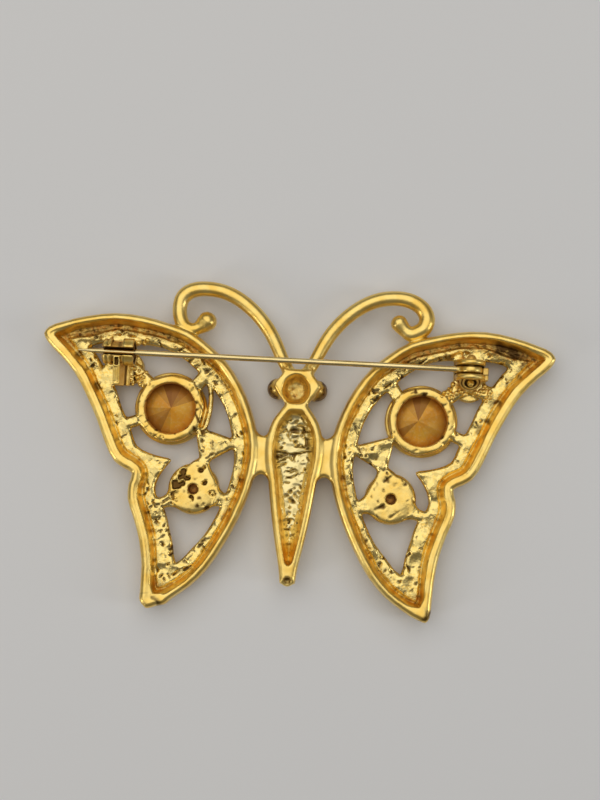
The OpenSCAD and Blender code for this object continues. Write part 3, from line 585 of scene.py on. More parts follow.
# %% Sums on sockets
def set_socket(tree, socket, value):
    """Links a socket, or gives it a plain value."""
    value = getattr(value, "socket", value)
    if isinstance(value, bpy.types.NodeSocket):
        tree.links.new(value, socket)
    elif value is not None:
        socket.default_value = value


def add_node(tree, kind, settings, values):
    """A node of a kind, with its settings made first, and values or links of its sockets."""
    made = tree.nodes.new(kind)
    for key, setting in settings.items():
        setattr(made, key, setting)
    for key, value in values.items():
        set_socket(tree, made.inputs[key], value)
    return made


class Wire:
    """A socket that can be used in sums."""

    def __init__(self, ink, socket):
        self.ink, self.socket = ink, socket

    def math(self, operation, *values):
        return self.ink.node("ShaderNodeMath", {"operation": operation}, *values)

    def __add__(self, other):
        return self.math("ADD", self, other)

    def __sub__(self, other):
        return self.math("SUBTRACT", self, other)

    def __rsub__(self, other):
        return self.math("SUBTRACT", other, self)

    def __mul__(self, other):
        return self.math("MULTIPLY", self, other)

    __radd__, __rmul__ = __add__, __mul__

    def step(self, low, high):
        """A smooth step from 0 at low to 1 at high."""
        return self.ink.node("ShaderNodeMapRange", {"interpolation_type": "SMOOTHSTEP"},
                             self, low, high, 0.0, 1.0)


print("a wire can:", [name for name in vars(Wire) if not name.startswith("_")])

# %% The nodes of a material
class Ink:
    """The nodes of one material."""

    def __init__(self, name, **constants):
        self.material = bpy.data.materials.new(name)
        self.material.use_nodes = True
        self.tree = self.material.node_tree
        self.shader = self.tree.nodes["Principled BSDF"]
        for socket, value in constants.items():
            self.shader.inputs[socket.replace("_", " ")].default_value = value

    def node(self, kind, settings=None, *values, out=0, **named):
        made = add_node(self.tree, kind, settings or {}, {**dict(enumerate(values)), **named})
        return Wire(self, made.outputs[out])

    def mark(self, name):
        return self.node("ShaderNodeAttribute", {"attribute_name": name}, out="Fac")

    def noise(self, size, detail=2.0, rough=0.5, stretch=(1, 1, 1)):
        """Noise from 0 to 1 whose lumps are about size millimetres wide."""
        place = self.node("ShaderNodeTexCoord", out="Object")
        if stretch != (1, 1, 1):
            place = self.node("ShaderNodeVectorMath", {"operation": "MULTIPLY"}, place, stretch)
        return self.node("ShaderNodeTexNoise", {}, Vector=place, Scale=1 / (size * MM),
                         Detail=detail, Roughness=rough)

    def mix(self, share, a, b):
        """A colour between a and b."""
        a, b = ((*v, 1) if isinstance(v, tuple) else v for v in (a, b))
        made = add_node(self.tree, "ShaderNodeMix", {"data_type": "RGBA"}, {0: share, 6: a, 7: b})
        return Wire(self, made.outputs[2])

    def finish(self, colour=None, rough=None, metal=None, bump=None, height=0.05):
        """Links what changes over the surface to the shader."""
        normal = bump and self.node("ShaderNodeBump", {}, Height=bump, Strength=1.0,
                                    Distance=height * MM)
        for name, value in (("Base Color", colour), ("Roughness", rough), ("Metallic", metal),
                            ("Normal", normal)):
            set_socket(self.tree, self.shader.inputs[name], value)
        return self.material


print("an ink can:", [name for name in vars(Ink) if not name.startswith("_")])

# %% [markdown]
# ## Gold-tone metal
# The plating is a pale, warm yellow where it was polished. It is painted nearly white on
# the rough floors, as a painted sheen where light is scattered, and orange-brown where
# polish and dirt stayed in the channels. Pits, gaps and shaded places are painted dark
# brown, as painted shade. Marks on the corners of the mesh say which place is which.

# %% Materials of the metal
PALE, WARM = (0.95, 0.70, 0.22), (0.88, 0.57, 0.12)
# Whitish gold is a painted sheen on the rough floors; olive is painted shading there and on the
# pale places.
WHITISH, SILVERY, OLIVE = (0.94, 0.73, 0.27), (0.91, 0.78, 0.40), (0.48, 0.38, 0.14)
# Amber and orange are mostly tarnish; dark brown is painted shade in pits and shaded places, mixed
# with soot.
AMBER, ORANGE, BROWN = (0.53, 0.34, 0.09), (0.58, 0.27, 0.05), (0.11, 0.055, 0.013)
BRASS, DARK_BRASS = (0.88, 0.71, 0.35), (0.70, 0.54, 0.23)
# Colours of the foil: copper, a painted glint, and painted shade for dark facets and for its rim.
COPPER, PALE_COPPER, PAINTED_GLINT = (1.0, 0.43, 0.03), (1.0, 0.54, 0.06), (1.0, 0.76, 0.32)
SHADED, PAINTED_RIM_SHADE = (0.28, 0.10, 0.008), (0.30, 0.10, 0.02)


def cast_gold():
    ink = Ink("cast_gold")
    tarnish, rough, pit = ink.mark("tarnish"), ink.mark("rough"), ink.mark("pit")
    cloud, speck = ink.noise(2.2, 3.0), ink.noise(0.32, 3.0, 0.6)
    blotch = ink.noise(1.0, 4.0, 0.7)
    # Amber for tarnish in the channels, and for painted shade on the eye domes and low walls.
    dirt_and_shade = (tarnish * (blotch * 2.6 - 0.25)).step(0.2, 1.3)
    colour = ink.mix(cloud.step(0.35, 0.7), PALE, WARM)
    # Painted sheen: whitish specks on the rough floors, where light is scattered.
    colour = ink.mix(rough * speck.step(0.35, 0.6), colour, WHITISH)
    colour = ink.mix(dirt_and_shade, colour, AMBER)
    spots = dirt_and_shade * ink.noise(0.6, 3.0).step(0.4, 0.6)
    colour = ink.mix(spots.step(0.3, 1.0), colour, ORANGE)
    colour = ink.mix(ink.mark("pale") * 0.8, colour, SILVERY)
    # Painted shading: olive patches on the rough floors and the pale places.
    patch = ink.noise(0.9, 3.0, 0.6).step(0.5, 0.62)
    colour = ink.mix((rough + ink.mark("pale")) * patch * 0.55, colour, OLIVE)
    # Painted shade and soot: dark brown in pits and dents, on the eye domes, and in dark tarnish.
    soot_and_shade = pit * (0.5 + ink.noise(0.6, 3.0)) + dirt_and_shade * ink.noise(0.7, 3.0).step(0.45, 0.7) * 0.75
    colour = ink.mix(soot_and_shade.step(0.1, 0.9), colour, BROWN)
    gloss = 0.27 - 0.1 * rough + 0.1 * dirt_and_shade + 0.08 * speck
    grain = speck * (0.2 + 0.5 * rough + 2.2 * tarnish)
    return ink.finish(colour, gloss, 1 - 0.15 * dirt_and_shade, grain)


def fitting_gold():
    ink = Ink("fitting_gold")
    tarnish, pit = ink.mark("tarnish"), ink.mark("pit")
    cloud, speck = ink.noise(0.9, 3.0), ink.noise(0.2, 2.0)
    # Tarnish and painted shade: orange in slots and low down under the fitting.
    dirt_and_shade = (tarnish * (0.5 + cloud)).step(0.3, 0.9)
    colour = ink.mix(cloud.step(0.35, 0.65), PALE, WARM)
    colour = ink.mix(dirt_and_shade * 0.6, colour, ORANGE)
    # Painted shade: dark brown in gaps, grooves, bores and low down.
    colour = ink.mix(pit.step(0.3, 0.9), colour, BROWN)
    return ink.finish(colour, 0.27 + 0.15 * dirt_and_shade + 0.1 * speck, 1 - 0.2 * dirt_and_shade, speck, 0.03)


def wire_gold():
    ink = Ink("wire_gold", Metallic=1.0)
    drawn = ink.noise(0.5, 2.0, 0.5, (0.08, 1, 1))
    colour = ink.mix(drawn.step(0.3, 0.7), BRASS, DARK_BRASS)
    return ink.finish(colour, 0.16 + 0.12 * drawn, bump=drawn, height=0.02)


def copper_foil():
    ink = Ink("copper_foil", Coat_Weight=0.1, Coat_Roughness=0.2)
    cloud, streak = ink.noise(2.4, 3.0), ink.noise(0.4, 4.0, 0.6)
    colour = ink.mix(cloud.step(0.3, 0.7), COPPER, PALE_COPPER)
    # Painted glint: bright streaks on the foil.
    colour = ink.mix(streak.step(0.48, 0.7) * 0.35, colour, PAINTED_GLINT)
    # Painted light and shade: each facet of the foil is painted lighter or darker.
    colour = ink.mix(ink.mark("sector"), SHADED, colour)
    # Painted shade at the rim of the foil, under the ring.
    colour = ink.mix(ink.mark("edge"), colour, PAINTED_RIM_SHADE)
    return ink.finish(colour, 0.32 + 0.12 * streak, 0.48 - 0.1 * cloud, streak, 0.02)


def cut_glass():
    ink = Ink("cut_glass", IOR=1.55, Specular_IOR_Level=0.6, Metallic=0.35)
    cloud = ink.noise(1.5, 2.0)
    colour = ink.mix(cloud.step(0.35, 0.7), (0.20, 0.09, 0.03), (0.38, 0.19, 0.07))
    return ink.finish(colour, 0.06 + 0.06 * cloud)


CAST_GOLD, FITTING_GOLD, WIRE_GOLD = cast_gold(), fitting_gold(), wire_gold()
COPPER_FOIL, CUT_GLASS = copper_foil(), cut_glass()
print("materials:", len(bpy.data.materials))

# %% [markdown]
# ## The casting as five pieces
# A skin this fine would be one huge mesh. It is parted through the arms and the antennae,
# and across each wing between its stones, and each cut is closed with a flat face, so that
# each piece is a closed solid and they meet without a gap.

# %% Marks on the casting
def at_corners(plan, corners):
    """The value of a plan at each corner of a skin."""
    u, v = (corners[:, 0] - LOW[0]) / STEP, (corners[:, 1] - LOW[1]) / STEP
    i, j = u.astype(int), v.astype(int)
    s, t = u - i, v - j
    low = between(plan[i, j], plan[i + 1, j], s)
    return between(low, between(plan[i, j + 1], plan[i + 1, j + 1], s), t)


def casting_marks(corners):
    """Where the casting is tarnished or painted with shade, rough, pitted and pale, from 0 to 1."""
    def here(plan):
        return at_corners(plan, corners)

    height = corners[:, 2]
    middle_part = here(ramp(-np.minimum(body_d, head_d), 0.4, 0.8))
    facing_back = ramp(height, 1.9 - 0.7 * middle_part, 2.3 - 0.7 * middle_part)
    wing = here(ramp(deep, 0.2, 0.6))
    off_ring = 1 - here(ramp(4.65 - big_r, 0, 0.15))
    plate = here(plate_mask)
    floor = here(floor_mask) * off_ring * (1 - 0.75 * plate)
    channel = here(stain) * off_ring * (1 - plate)
    hollow = here(hollow_mask)
    recess = here(ramp(-recess_d, -0.15, 0.15)) * ramp(4.1 - height, 0, 0.5)
    ring_inside = here(ramp(3.85 - big_r, 0, 0.25))
    # Painted shade on the eye domes, which lie low beside the head and face away.
    eye_shade = here(ramp(head_d, 0.1, 0.6) * ramp(1.9 - away_from(EYE), 0, 0.2))
    eye_shade = eye_shade * ramp(height, 0.9, 1.4)
    # Darker and more orange low down on the wings, below the floor.
    wall = ramp(2.75 - height, 0, 0.4) * wing
    pale = here(ramp(body_deep, 1.35, 1.8) * (1 - ramp(-py, 11, 15)) * hollow_mask)
    tarnish = channel + 0.55 * wall + 0.7 * recess + 0.4 * hollow * (1 - pale) + 0.8 * ring_inside
    rough = np.clip(floor * wing + 0.5 * recess, 0, 1)
    # Pits and dents are painted dark, as painted shade in them, along with the soot and shade of
    # the channels.
    pit = here(np.maximum(wing_pits, plate_pits) + 0.8 * body_pits + soot_and_shade)
    # Painted shade in the dimple on the tail.
    dent = here(ramp(0.75 - np.hypot(px, py - TAIL_DENT_Y), 0, 0.35)) * facing_back
    return {"tarnish": np.maximum(np.clip(tarnish, 0, 1.2) * facing_back, eye_shade),
            "rough": rough * facing_back, "pale": pale * facing_back,
            "pit": np.maximum(pit * facing_back, 0.55 * eye_shade + 0.6 * dent)}


marks = casting_marks(casting_corners)
print({name: round(float(values.mean()), 3) for name, values in marks.items()})

# %% Part the casting
CUT_X, CUT_Y = 4.97, -1.1      # through the arms and antennae, and across the wings


def part_of(name, keep):
    """The faces that are kept as a piece of their own, with each cut closed."""
    used, faces = np.unique(casting_faces[keep], return_inverse=True)
    mesh = make_mesh(name, casting_corners[used] - (0, MID_Y, 0), faces.reshape(-1, 4))
    work = bmesh.new()
    work.from_mesh(mesh)
    rim = [e for e in work.edges if e.is_boundary]
    caps = bmesh.ops.holes_fill(work, edges=rim, sides=0)["faces"]
    for flat_part in rim + caps:
        flat_part.smooth = False
    work.to_mesh(mesh)
    work.free()
    add_marks(mesh, {mark: values[used] for mark, values in marks.items()})
    add_piece(name, mesh, CAST_GOLD, "brooch", "cast_gold", "casting")
    print(name, "has", 2 * int(keep.sum()), "triangles and", len(caps), "closed cuts")


def cube_at(axis, place):
    return int((place - LOW[axis]) / STEP)


column, row = (casting_cubes[casting_faces][:, :, axis].max(axis=1) for axis in (0, 1))
left_part, right_part = column <= cube_at(0, -CUT_X), column > cube_at(0, CUT_X)
upper_part = row > cube_at(1, CUT_Y)
for name, part in (("left", left_part), ("right", right_part)):
    part_of(f"{name}_upper_wing", part & upper_part)
    part_of(f"{name}_lower_wing", part & ~upper_part)
part_of("body_and_head", ~left_part & ~right_part)

# %% [markdown]
# ## The big stones
# A cut stone of this kind is a cone of glass with copper foil behind it. From the back
# only the foil shows, as broad sectors that meet a little off the middle, because the
# stones were set by hand. Each sector is painted lighter or darker, as painted light and
# shade on the facets, and the rim of the foil is painted dark, as painted shade under the
# ring. The front has a table and a ring of facets.

# %% Cut the stones
TABLE_R, TABLE_Z, CROWN_H, GIRDLE_H = 0.55, 0.1, 0.17, 0.05    # radii and heights, of its radius
PAVILION, STEP_UP, TIP_UP = 1.75, 0.43, 0.96    # depth of the cone, and shares of it
HALFWAY_R, HALFWAY_SHIFT = 0.55, 0.45           # the ring of corners between girdle and tip
SIDES = 8


def stone_mesh(name, middle, radius, tip_shift, seed):
    """A stone with its table down: 8 corners at the table, 16 at the girdle."""
    chance = np.random.default_rng(seed)
    girdle, girdle_t = TABLE_Z + CROWN_H * radius, GIRDLE_H * radius
    work = bmesh.new()

    def ring_of(count, r, z, wobble=0.0):
        turn = [2 * math.pi * k / count for k in range(count)]
        return [work.verts.new(((middle[0] + r * math.cos(a)) * MM,
                                (middle[1] + r * math.sin(a)) * MM,
                                (z + wobble * chance.uniform(-1, 1)) * MM)) for a in turn]

    table = ring_of(SIDES, TABLE_R * radius, TABLE_Z)
    front = ring_of(2 * SIDES, radius, girdle)
    back = ring_of(2 * SIDES, radius, girdle + girdle_t)
    half = ring_of(2 * SIDES, HALFWAY_R * radius, girdle + girdle_t + PAVILION * STEP_UP, 0.05)
    for vertex in half:
        vertex.co.x += tip_shift[0] * HALFWAY_SHIFT * MM
        vertex.co.y += tip_shift[1] * HALFWAY_SHIFT * MM
    tip = work.verts.new(((middle[0] + tip_shift[0]) * MM, (middle[1] + tip_shift[1]) * MM,
                          (girdle + girdle_t + PAVILION * TIP_UP) * MM))
    work.faces.new(table[::-1])
    for k in range(SIDES):
        work.faces.new((table[k], front[2 * k], front[2 * k - 1]))
        work.faces.new((table[k], front[2 * k + 1], front[2 * k]))
        work.faces.new((table[k], table[(k + 1) % SIDES], front[2 * k + 1]))
    for k in range(2 * SIDES):
        after = (k + 1) % (2 * SIDES)
        work.faces.new((front[k], front[after], back[after], back[k]))
        work.faces.new((back[k], back[after], half[after], half[k]))
        work.faces.new((half[k], half[after], tip))
    bmesh.ops.recalc_face_normals(work, faces=work.faces)
    mesh = bpy.data.meshes.new(name)
    work.to_mesh(mesh)
    work.free()
    return mesh


# Painted light and shade on the foil: how bright each of its 16 sectors is painted, counted from +X
# towards +Y.
PAINTED_FACET_LIGHT = {"right": (0.6, 0.7, 0.7, 0.15, 0.05, 0.4, 0.55, 0.6,
                     0.65, 0.5, 0.25, 0.8, 1.0, 0.95, 0.75, 0.65),
           "left": (0.85, 0.35, 0.2, 0.05, 0.0, 0.35, 0.55, 0.7,
                    0.75, 0.5, 0.3, 0.25, 0.7, 1.0, 1.0, 0.95)}
# Settings. Columns: side, sign of x, shift of the tip in mm, seed.
for name, sign, tip_shift, seed in (("right", 1, (-0.5, 0.0), 51), ("left", -1, (0.1, 0.05), 52)):
    middle = np.array((sign * BIG[0], BIG[1] - MID_Y))
    mesh = stone_mesh(f"big_stone_foil_{name}", middle, BIG_STONE_R, tip_shift, seed)
    away = [math.dist((v.co.x / MM, v.co.y / MM), middle) for v in mesh.vertices]
    # Painted shade at the rim of the foil, where the ring shades it.
    add_marks(mesh, {"edge": ramp(np.array(away), 3.4, 4.6)})
    facet_light_layer = mesh.attributes.new("sector", "FLOAT", "FACE")
    turns = [math.atan2(f.center.y / MM - middle[1], f.center.x / MM - middle[0])
             for f in mesh.polygons]
    facet_lights = PAINTED_FACET_LIGHT[name]
    facet_light_layer.data.foreach_set("value", [facet_lights[int(turn / math.tau * 16) % 16] for turn in turns])
    add_piece(mesh.name, mesh, COPPER_FOIL, "brooch", "copper_foiled_glass", f"big_stone_{name}")
    print(mesh.name, "has", len(mesh.polygons), "facets")

for kind in ("lower", "upper", "eye"):
    for name in ("right", "left"):
        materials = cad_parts[f"{kind}_stone_{name}"].data.materials
        materials.clear()
        materials.append(CUT_GLASS)

# %% [markdown]
# ## Hinge and catch
# These are stock fittings: bent sheet and turned tube. They are drawn as fields too, with
# a finer grid, so their edges come out as softly worn as the photograph shows. Their sizes
# are those of the solids, because the pin and the roller have to turn in them.

# %% Tools for the fittings
FINE = 0.07
FOOT = 2.88 - PIN_Z            # lowest z of the hinge and of the catch


def fitting(name, middle, low, high, shape, node, body, dirt_and_shade):
    """A fitting from its field. Its u, y and z count from its middle on the pin's line, in mm."""
    low, high = np.array(low) + (middle, 0, 0), np.array(high) + (middle, 0, 0)
    x, y, z = grid(low, high, FINE)
    corners, faces, _ = skin_of(shape(x - middle, y, z), low, FINE)
    mesh = make_mesh(name, corners + (0, PIN_Y - MID_Y, PIN_Z), faces)
    tarnish, pit = dirt_and_shade(corners[:, 0] - middle, corners[:, 1], corners[:, 2])
    add_marks(mesh, {"tarnish": tarnish, "pit": pit})
    add_piece(name, mesh, FITTING_GOLD, body, "finding_gold", node)
    print(name, "has", 2 * len(faces), "triangles")


def band(x, middle, half, soft=0.2):
    """1 in the middle of a band, and 0 beside it."""
    return ramp(half - np.abs(x - middle), 0, soft)


print("at the edge of a band:", float(band(0.5, 0, 0.5)))

# %% The hinge
EAR_Y, EAR_R, EAR_HALF, BORE_R = 1.0, 2, 0.4, 0.52
SHEET_T, HINGE_HALF = 0.73, 1.4         # thickness of the sheet, half the depth of the hinge


def hinge_shape(u, y, z):
    shape = to_block((u, y, z), (-EAR_R, -HINGE_HALF, FOOT), (EAR_R, HINGE_HALF, FOOT + SHEET_T))
    for middle in (-EAR_Y, EAR_Y):
        disc = common(np.hypot(u, z) - EAR_R, np.abs(y - middle) - EAR_HALF, 0.45)
        leg = to_block((u, y, z), (-EAR_R, middle - EAR_HALF, FOOT),
                       (EAR_R, middle + EAR_HALF, 0.2))
        shape = melt(shape, melt(disc, leg, 0.05), 0.12)
    stop = to_block((u, y, z), (1.7, -HINGE_HALF, FOOT), (2.6, 0.5, -0.85), 0.2)
    shape = melt(shape, stop, 0.15)
    return common(shape, BORE_R - np.hypot(u, z), 0.06)


# Tarnish and painted shade: more orange low down, and painted shade in the gaps between the ears
# and low down.
def hinge_dirt_and_shade(u, y, z):
    gap = band(np.abs(y), 0.55, 0.25)
    round_head = ramp(1.3 - np.hypot(u, z), 0, 0.3)
    return (0.35 + 0.5 * ramp(-z, 0.2, 1.6) + 0.3 * round_head,
            np.clip(0.6 * ramp(-z, 1.2, 2.4) + 0.7 * gap, 0, 1))


fitting("hinge_ears", HINGE_X, (-2.3, -1.7, FOOT - 0.3), (2.9, 1.7, 2.3), hinge_shape,
        "hinge_bracket", "brooch", hinge_dirt_and_shade)

# %% The catch
TUBE_R, TUBE_HALF, ROOM_R, SLIT_HALF, SLOT_HALF = 1.9, 2.3, 1.48, 0.55, 0.75
BASE_HALF, BASE_H, SLOT_FLOOR = 1.52, 1.14, -0.84
NECK_U, RIDGES = -1.35, (0.95, 1.38)    # grooves round the tube, and along the plate


def slit(u, y, z):
    """The slit for the pin, which runs through the housing and through the roller."""
    return to_block((u, y, z), (-3, -SLIT_HALF, 0), (3, SLIT_HALF, 4))


def catch_shape(u, y, z):
    radius = np.hypot(y, z)
    tube = common(common(radius - TUBE_R, u - TUBE_HALF, 0.2), -u - TUBE_HALF, 1.3)
    base = to_block((u, y, z), (-TUBE_HALF, -BASE_HALF, FOOT),
                    (TUBE_HALF, BASE_HALF, FOOT + BASE_H), 0.15)
    tube = tube + 0.16 * band(u, NECK_U, 0.3, 0.25) * ramp(radius, 1.5, 1.8)
    plate = to_block((u, y, z), (-0.4, -4.6, FOOT), (1.6, 0, FOOT + SHEET_T), 0.15)
    plate = plate + 0.2 * band(u, RIDGES[0], 0.22, 0.18) + 0.12 * band(u, RIDGES[1], 0.15, 0.12)
    shape = common(melt(melt(tube, base, 0.2), plate, 0.2), ROOM_R - radius, 0.06)
    slot = to_block((u, y, z), (-SLOT_HALF, -5, SLOT_FLOOR), (SLOT_HALF, 5, 4))
    return common(common(shape, -slit(u, y, z), 0.12), -slot, 0.12)


# Tarnish and painted shade: orange in the slot and low down, and painted shade inside the tube, in
# its grooves and low down.
def catch_dirt_and_shade(u, y, z):
    slot = ramp(0.95 - np.abs(u), 0, 0.2)
    inner = ramp(1.7 - np.hypot(y, z), 0, 0.1)
    bands = band(u, NECK_U, 0.3) + band(u, RIDGES[0], 0.25)
    return (0.15 + 0.7 * slot + 0.3 * ramp(-z, 0.4, 1.6),
            np.clip(0.9 * inner + 0.3 * ramp(-z, 1.4, 2.4) + 0.6 * bands, 0, 1))


fitting("catch_sleeves", -CATCH_X, (-2.6, -4.9, FOOT - 0.3), (2.6, 2.2, 2.2), catch_shape,
        "catch_housing", "brooch", catch_dirt_and_shade)

# %% The roller and its lever
ROLLER_R, ROLLER_HALF, ROLLER_BORE = 1.4, 2.1, 0.65
LEVER_SLOPE, LEVER_ROOT, LEVER_HALF, LEVER_L, LEVER_T = math.radians(12), 0.85, 0.475, 4.05, 0.5


def roller_shape(u, y, z):
    radius = np.hypot(y, z)
    roller = common(radius - ROLLER_R, np.abs(u) - ROLLER_HALF, 0.12)
    v, w = y + SLIT_HALF, z - LEVER_ROOT
    along = v * math.cos(LEVER_SLOPE) + w * math.sin(LEVER_SLOPE)
    up = w * math.cos(LEVER_SLOPE) - v * math.sin(LEVER_SLOPE)
    lever = to_block((u, along, up), (-LEVER_HALF, -LEVER_L, 0), (LEVER_HALF, 0, LEVER_T), 0.12)
    groove = to_block((u, along, up), (-0.26, -3.75, 0.4), (0.26, -1.5, 1), 0.1)
    hollow = to_block((u, along, up), (-0.27, -1.3, 0.2), (0.27, -0.3, 1), 0.2)
    shape = melt(roller, common(lever, -np.minimum(groove, hollow), 0.08), 0.1)
    shape = common(shape, ROLLER_BORE - radius, 0.06)
    return common(shape, -slit(u, y, z), 0.08)


# The drum is red-brown and worn; its bore and the hollow of the lever hold painted shade.
def roller_dirt_and_shade(u, y, z):
    hollow = (ramp(0.3 - np.abs(u), 0, 0.08) * ramp(-y, 0.7, 0.9) * ramp(y, -2.1, -1.8)
              * ramp(z, 0.4, 0.6))
    drum = ramp(y, -0.9, -0.5)
    worn = drum * (0.3 + 0.4 * lumps(u - CATCH_X, y + z, 0.5, 61))
    bore = 0.8 * ramp(0.9 - np.hypot(y, z), 0, 0.2)
    return 0.25 + 0.75 * drum, np.maximum(np.maximum(bore, hollow), worn)


fitting("catch_lever", -CATCH_X, (-2.4, -4.8, -1.7), (2.4, 1.7, 1.8), roller_shape,
        "catch_roller", "roller", roller_dirt_and_shade)

# %% [markdown]
# ## The pin, swept along its line
# The pin is a drawn wire with a ground point. Geometry Nodes follow the line: each point
# of it carries its own radius, a circle is swept along, and the tree turns the result into
# a mesh with its material. The flat knuckle at the hinge is a ring round the rivet.

# %% A tree that sweeps a wire
def new_tree(name, inputs):
    """An empty tree with named inputs. Columns of inputs: name, kind, value."""
    tree = bpy.data.node_groups.new(name, "GeometryNodeTree")
    tree.interface.new_socket("Geometry", in_out="INPUT", socket_type="NodeSocketGeometry")
    for label, kind, value in inputs:
        socket = tree.interface.new_socket(label, in_out="INPUT", socket_type=f"NodeSocket{kind}")
        socket.default_value = value
    tree.interface.new_socket("Geometry", in_out="OUTPUT", socket_type="NodeSocketGeometry")
    return tree, tree.nodes.new("NodeGroupInput").outputs


def chain(tree, *steps):
    """Adds nodes in a row. Columns: kind, settings, and values or links of its sockets."""
    out = None
    for kind, settings, values in steps:
        made = add_node(tree, kind, settings, values)
        if out:
            tree.links.new(out[0], made.inputs[0])
        out = made.outputs
    return out


def finish_tree(tree, material, *steps):
    """Ends a tree: its steps, real geometry, and a material."""
    last = chain(tree, *steps, ("GeometryNodeRealizeInstances", {}, {}),
                 ("GeometryNodeSetMaterial", {}, {"Material": material}))
    tree.links.new(last[0], tree.nodes.new("NodeGroupOutput").inputs[0])
    return tree


def sweep_tree():
    tree, given = new_tree("sweep_wire", [("Sides", "Int", 24)])
    circle = chain(tree, ("GeometryNodeCurvePrimitiveCircle", {},
                          {"Resolution": given["Sides"], "Radius": 1.0}))
    radius = chain(tree, ("GeometryNodeInputNamedAttribute", {"data_type": "FLOAT"},
                          {"Name": "thickness"}))
    curve = chain(tree, ("GeometryNodeMeshToCurve", {}, {"Mesh": given["Geometry"]}))
    return finish_tree(tree, WIRE_GOLD, ("GeometryNodeCurveToMesh", {}, {
        "Curve": curve[0], "Profile Curve": circle[0], "Scale": radius["Attribute"],
        "Fill Caps": True}))


def baked(name, holder, tree, settings):
    """Runs a tree on an object and gives the result as a plain mesh."""
    modifier = holder.modifiers.new(tree.name, "NODES")
    modifier.node_group = tree
    for item in tree.interface.items_tree:
        if item.in_out == "INPUT" and item.name in settings:
            modifier[item.identifier] = settings[item.name]
    graph = bpy.context.evaluated_depsgraph_get()
    mesh = bpy.data.meshes.new_from_object(holder.evaluated_get(graph))
    bpy.data.objects.remove(holder)
    mesh.name = name
    return mesh


print("tree inputs:", [item.name for item in sweep_tree().interface.items_tree])

# %% The pin
PIN_R, POINT_R, TIP_X, TAPER, TAPER_POWER = 0.4, 0.08, -30.68, 4.0, 1.3
STRAIGHT_POINTS, TAPER_POINTS, PIN_START = 12, 8, HINGE_X - 1.3
KNUCKLE_R, KNUCKLE_HALF, KNUCKLE_BORE = 1.6, 0.5, 0.6

shares = np.linspace(0, 1, TAPER_POINTS + 1)[1:]
pin_x = [*np.linspace(PIN_START, TIP_X + TAPER, STRAIGHT_POINTS), *(TIP_X + TAPER * (1 - shares))]
pin_radii = [PIN_R] * STRAIGHT_POINTS + list(PIN_R + (POINT_R - PIN_R) * shares**TAPER_POWER)
line = bpy.data.meshes.new("line")
line.from_pydata([(x * MM, (PIN_Y - MID_Y) * MM, PIN_Z * MM) for x in pin_x],
                 [(i, i + 1) for i in range(len(pin_x) - 1)], [])
add_marks(line, {"thickness": np.array(pin_radii) * MM})
pin_mesh = baked("pin_wire", add_object("line", line), sweep_tree(), {"Sides": 28})
pin_mesh.polygons.foreach_set("use_smooth", [True] * len(pin_mesh.polygons))
add_piece("pin_wire", pin_mesh, None, "pin", "pin_wire", "pin_stem")
print("pin wire:", len(pin_mesh.polygons), "faces")


def knuckle_shape(u, y, z):
    away = np.hypot(u, z)
    ring_part = common(away - KNUCKLE_R, np.abs(y) - KNUCKLE_HALF, 0.45)
    neck = common(np.hypot(y, z) - 0.42, np.abs(u + 1.5) - 0.5, 0.1)
    return common(melt(ring_part, neck, 0.35), KNUCKLE_BORE - away, 0.06)


fitting("pin_knuckle", HINGE_X, (-2.4, -0.8, -1.9), (1.9, 0.8, 1.9), knuckle_shape,
        "pin_stem", "pin", lambda u, y, z: (0.25 + 0 * u, 0 * u))

# %% [markdown]
# ## Rivet
# The rivet holds the pin between the ears. Its front head was hammered at a slant, so it
# shows its rings to the eye: a round dot, a dark groove and a collar. The field is drawn
# along the slanted axis, and cut away where the knuckle of the pin has to turn.

# %% Rivet
HEAD_SLANT, HEAD_START, HEAD_R = math.radians(50), -1.65, 1.55
DOT_R, GROOVES = 0.5, (0.68, 1.22)      # radii of the dot and of the two grooves round it
SHANK_R, BACK_HEAD_Y, BACK_HEAD_R, EAR_FACE_Y = 0.5, 1.42, 0.72, 1.38


def from_slant(y, z):
    """Distances along the slanted axis of the head, and across it."""
    v = y - HEAD_START
    return (z * math.sin(HEAD_SLANT) - v * math.cos(HEAD_SLANT),
            z * math.cos(HEAD_SLANT) + v * math.sin(HEAD_SLANT))


def rivet_shape(u, y, z):
    out, down = from_slant(y, z)
    across = np.hypot(u, down)
    top = (0.6 - 0.25 * across + 0.35 * ramp(DOT_R - across, 0, 0.25)
           - 0.3 * band(across, GROOVES[0], 0.25) - 0.2 * band(across, GROOVES[1], 0.14, 0.12))
    slanted = common(common(out - top, across - HEAD_R, 0.15), -out - 0.9, 0.1)
    slanted = common(slanted, y + 0.64, 0.05)
    away = np.hypot(u, z)
    back_head = np.sqrt(away**2 + (y - BACK_HEAD_Y) ** 2) - BACK_HEAD_R
    shank = common(away - SHANK_R, np.abs(y) - 1.6, 0.1)
    return np.minimum(np.minimum(slanted, common(back_head, EAR_FACE_Y - y, 0.03)), shank)


# Painted shade in the grooves of the head, with more tarnish towards its edge.
def rivet_dirt_and_shade(u, y, z):
    across = np.hypot(u, from_slant(y, z)[1])
    grooves = band(across, GROOVES[0], 0.25, 0.15) + 0.8 * band(across, GROOVES[1], 0.14, 0.1)
    return 0.3 + 0.4 * ramp(across, 0.6, 1.2), grooves


fitting("rivet", HINGE_X, (-1.9, -3.2, -1.8), (1.9, 2.4, 1.9), rivet_shape,
        "hinge_rivet", "brooch", rivet_dirt_and_shade)

# %% [markdown]
# ## Solder beads
# Solder ran out under both fittings and froze in beads. They could be placed one by one,
# but a tree scatters them over the surface instead: it takes the faces of the casting near
# the fittings, puts points on them, and sets a ball of a random size on each.

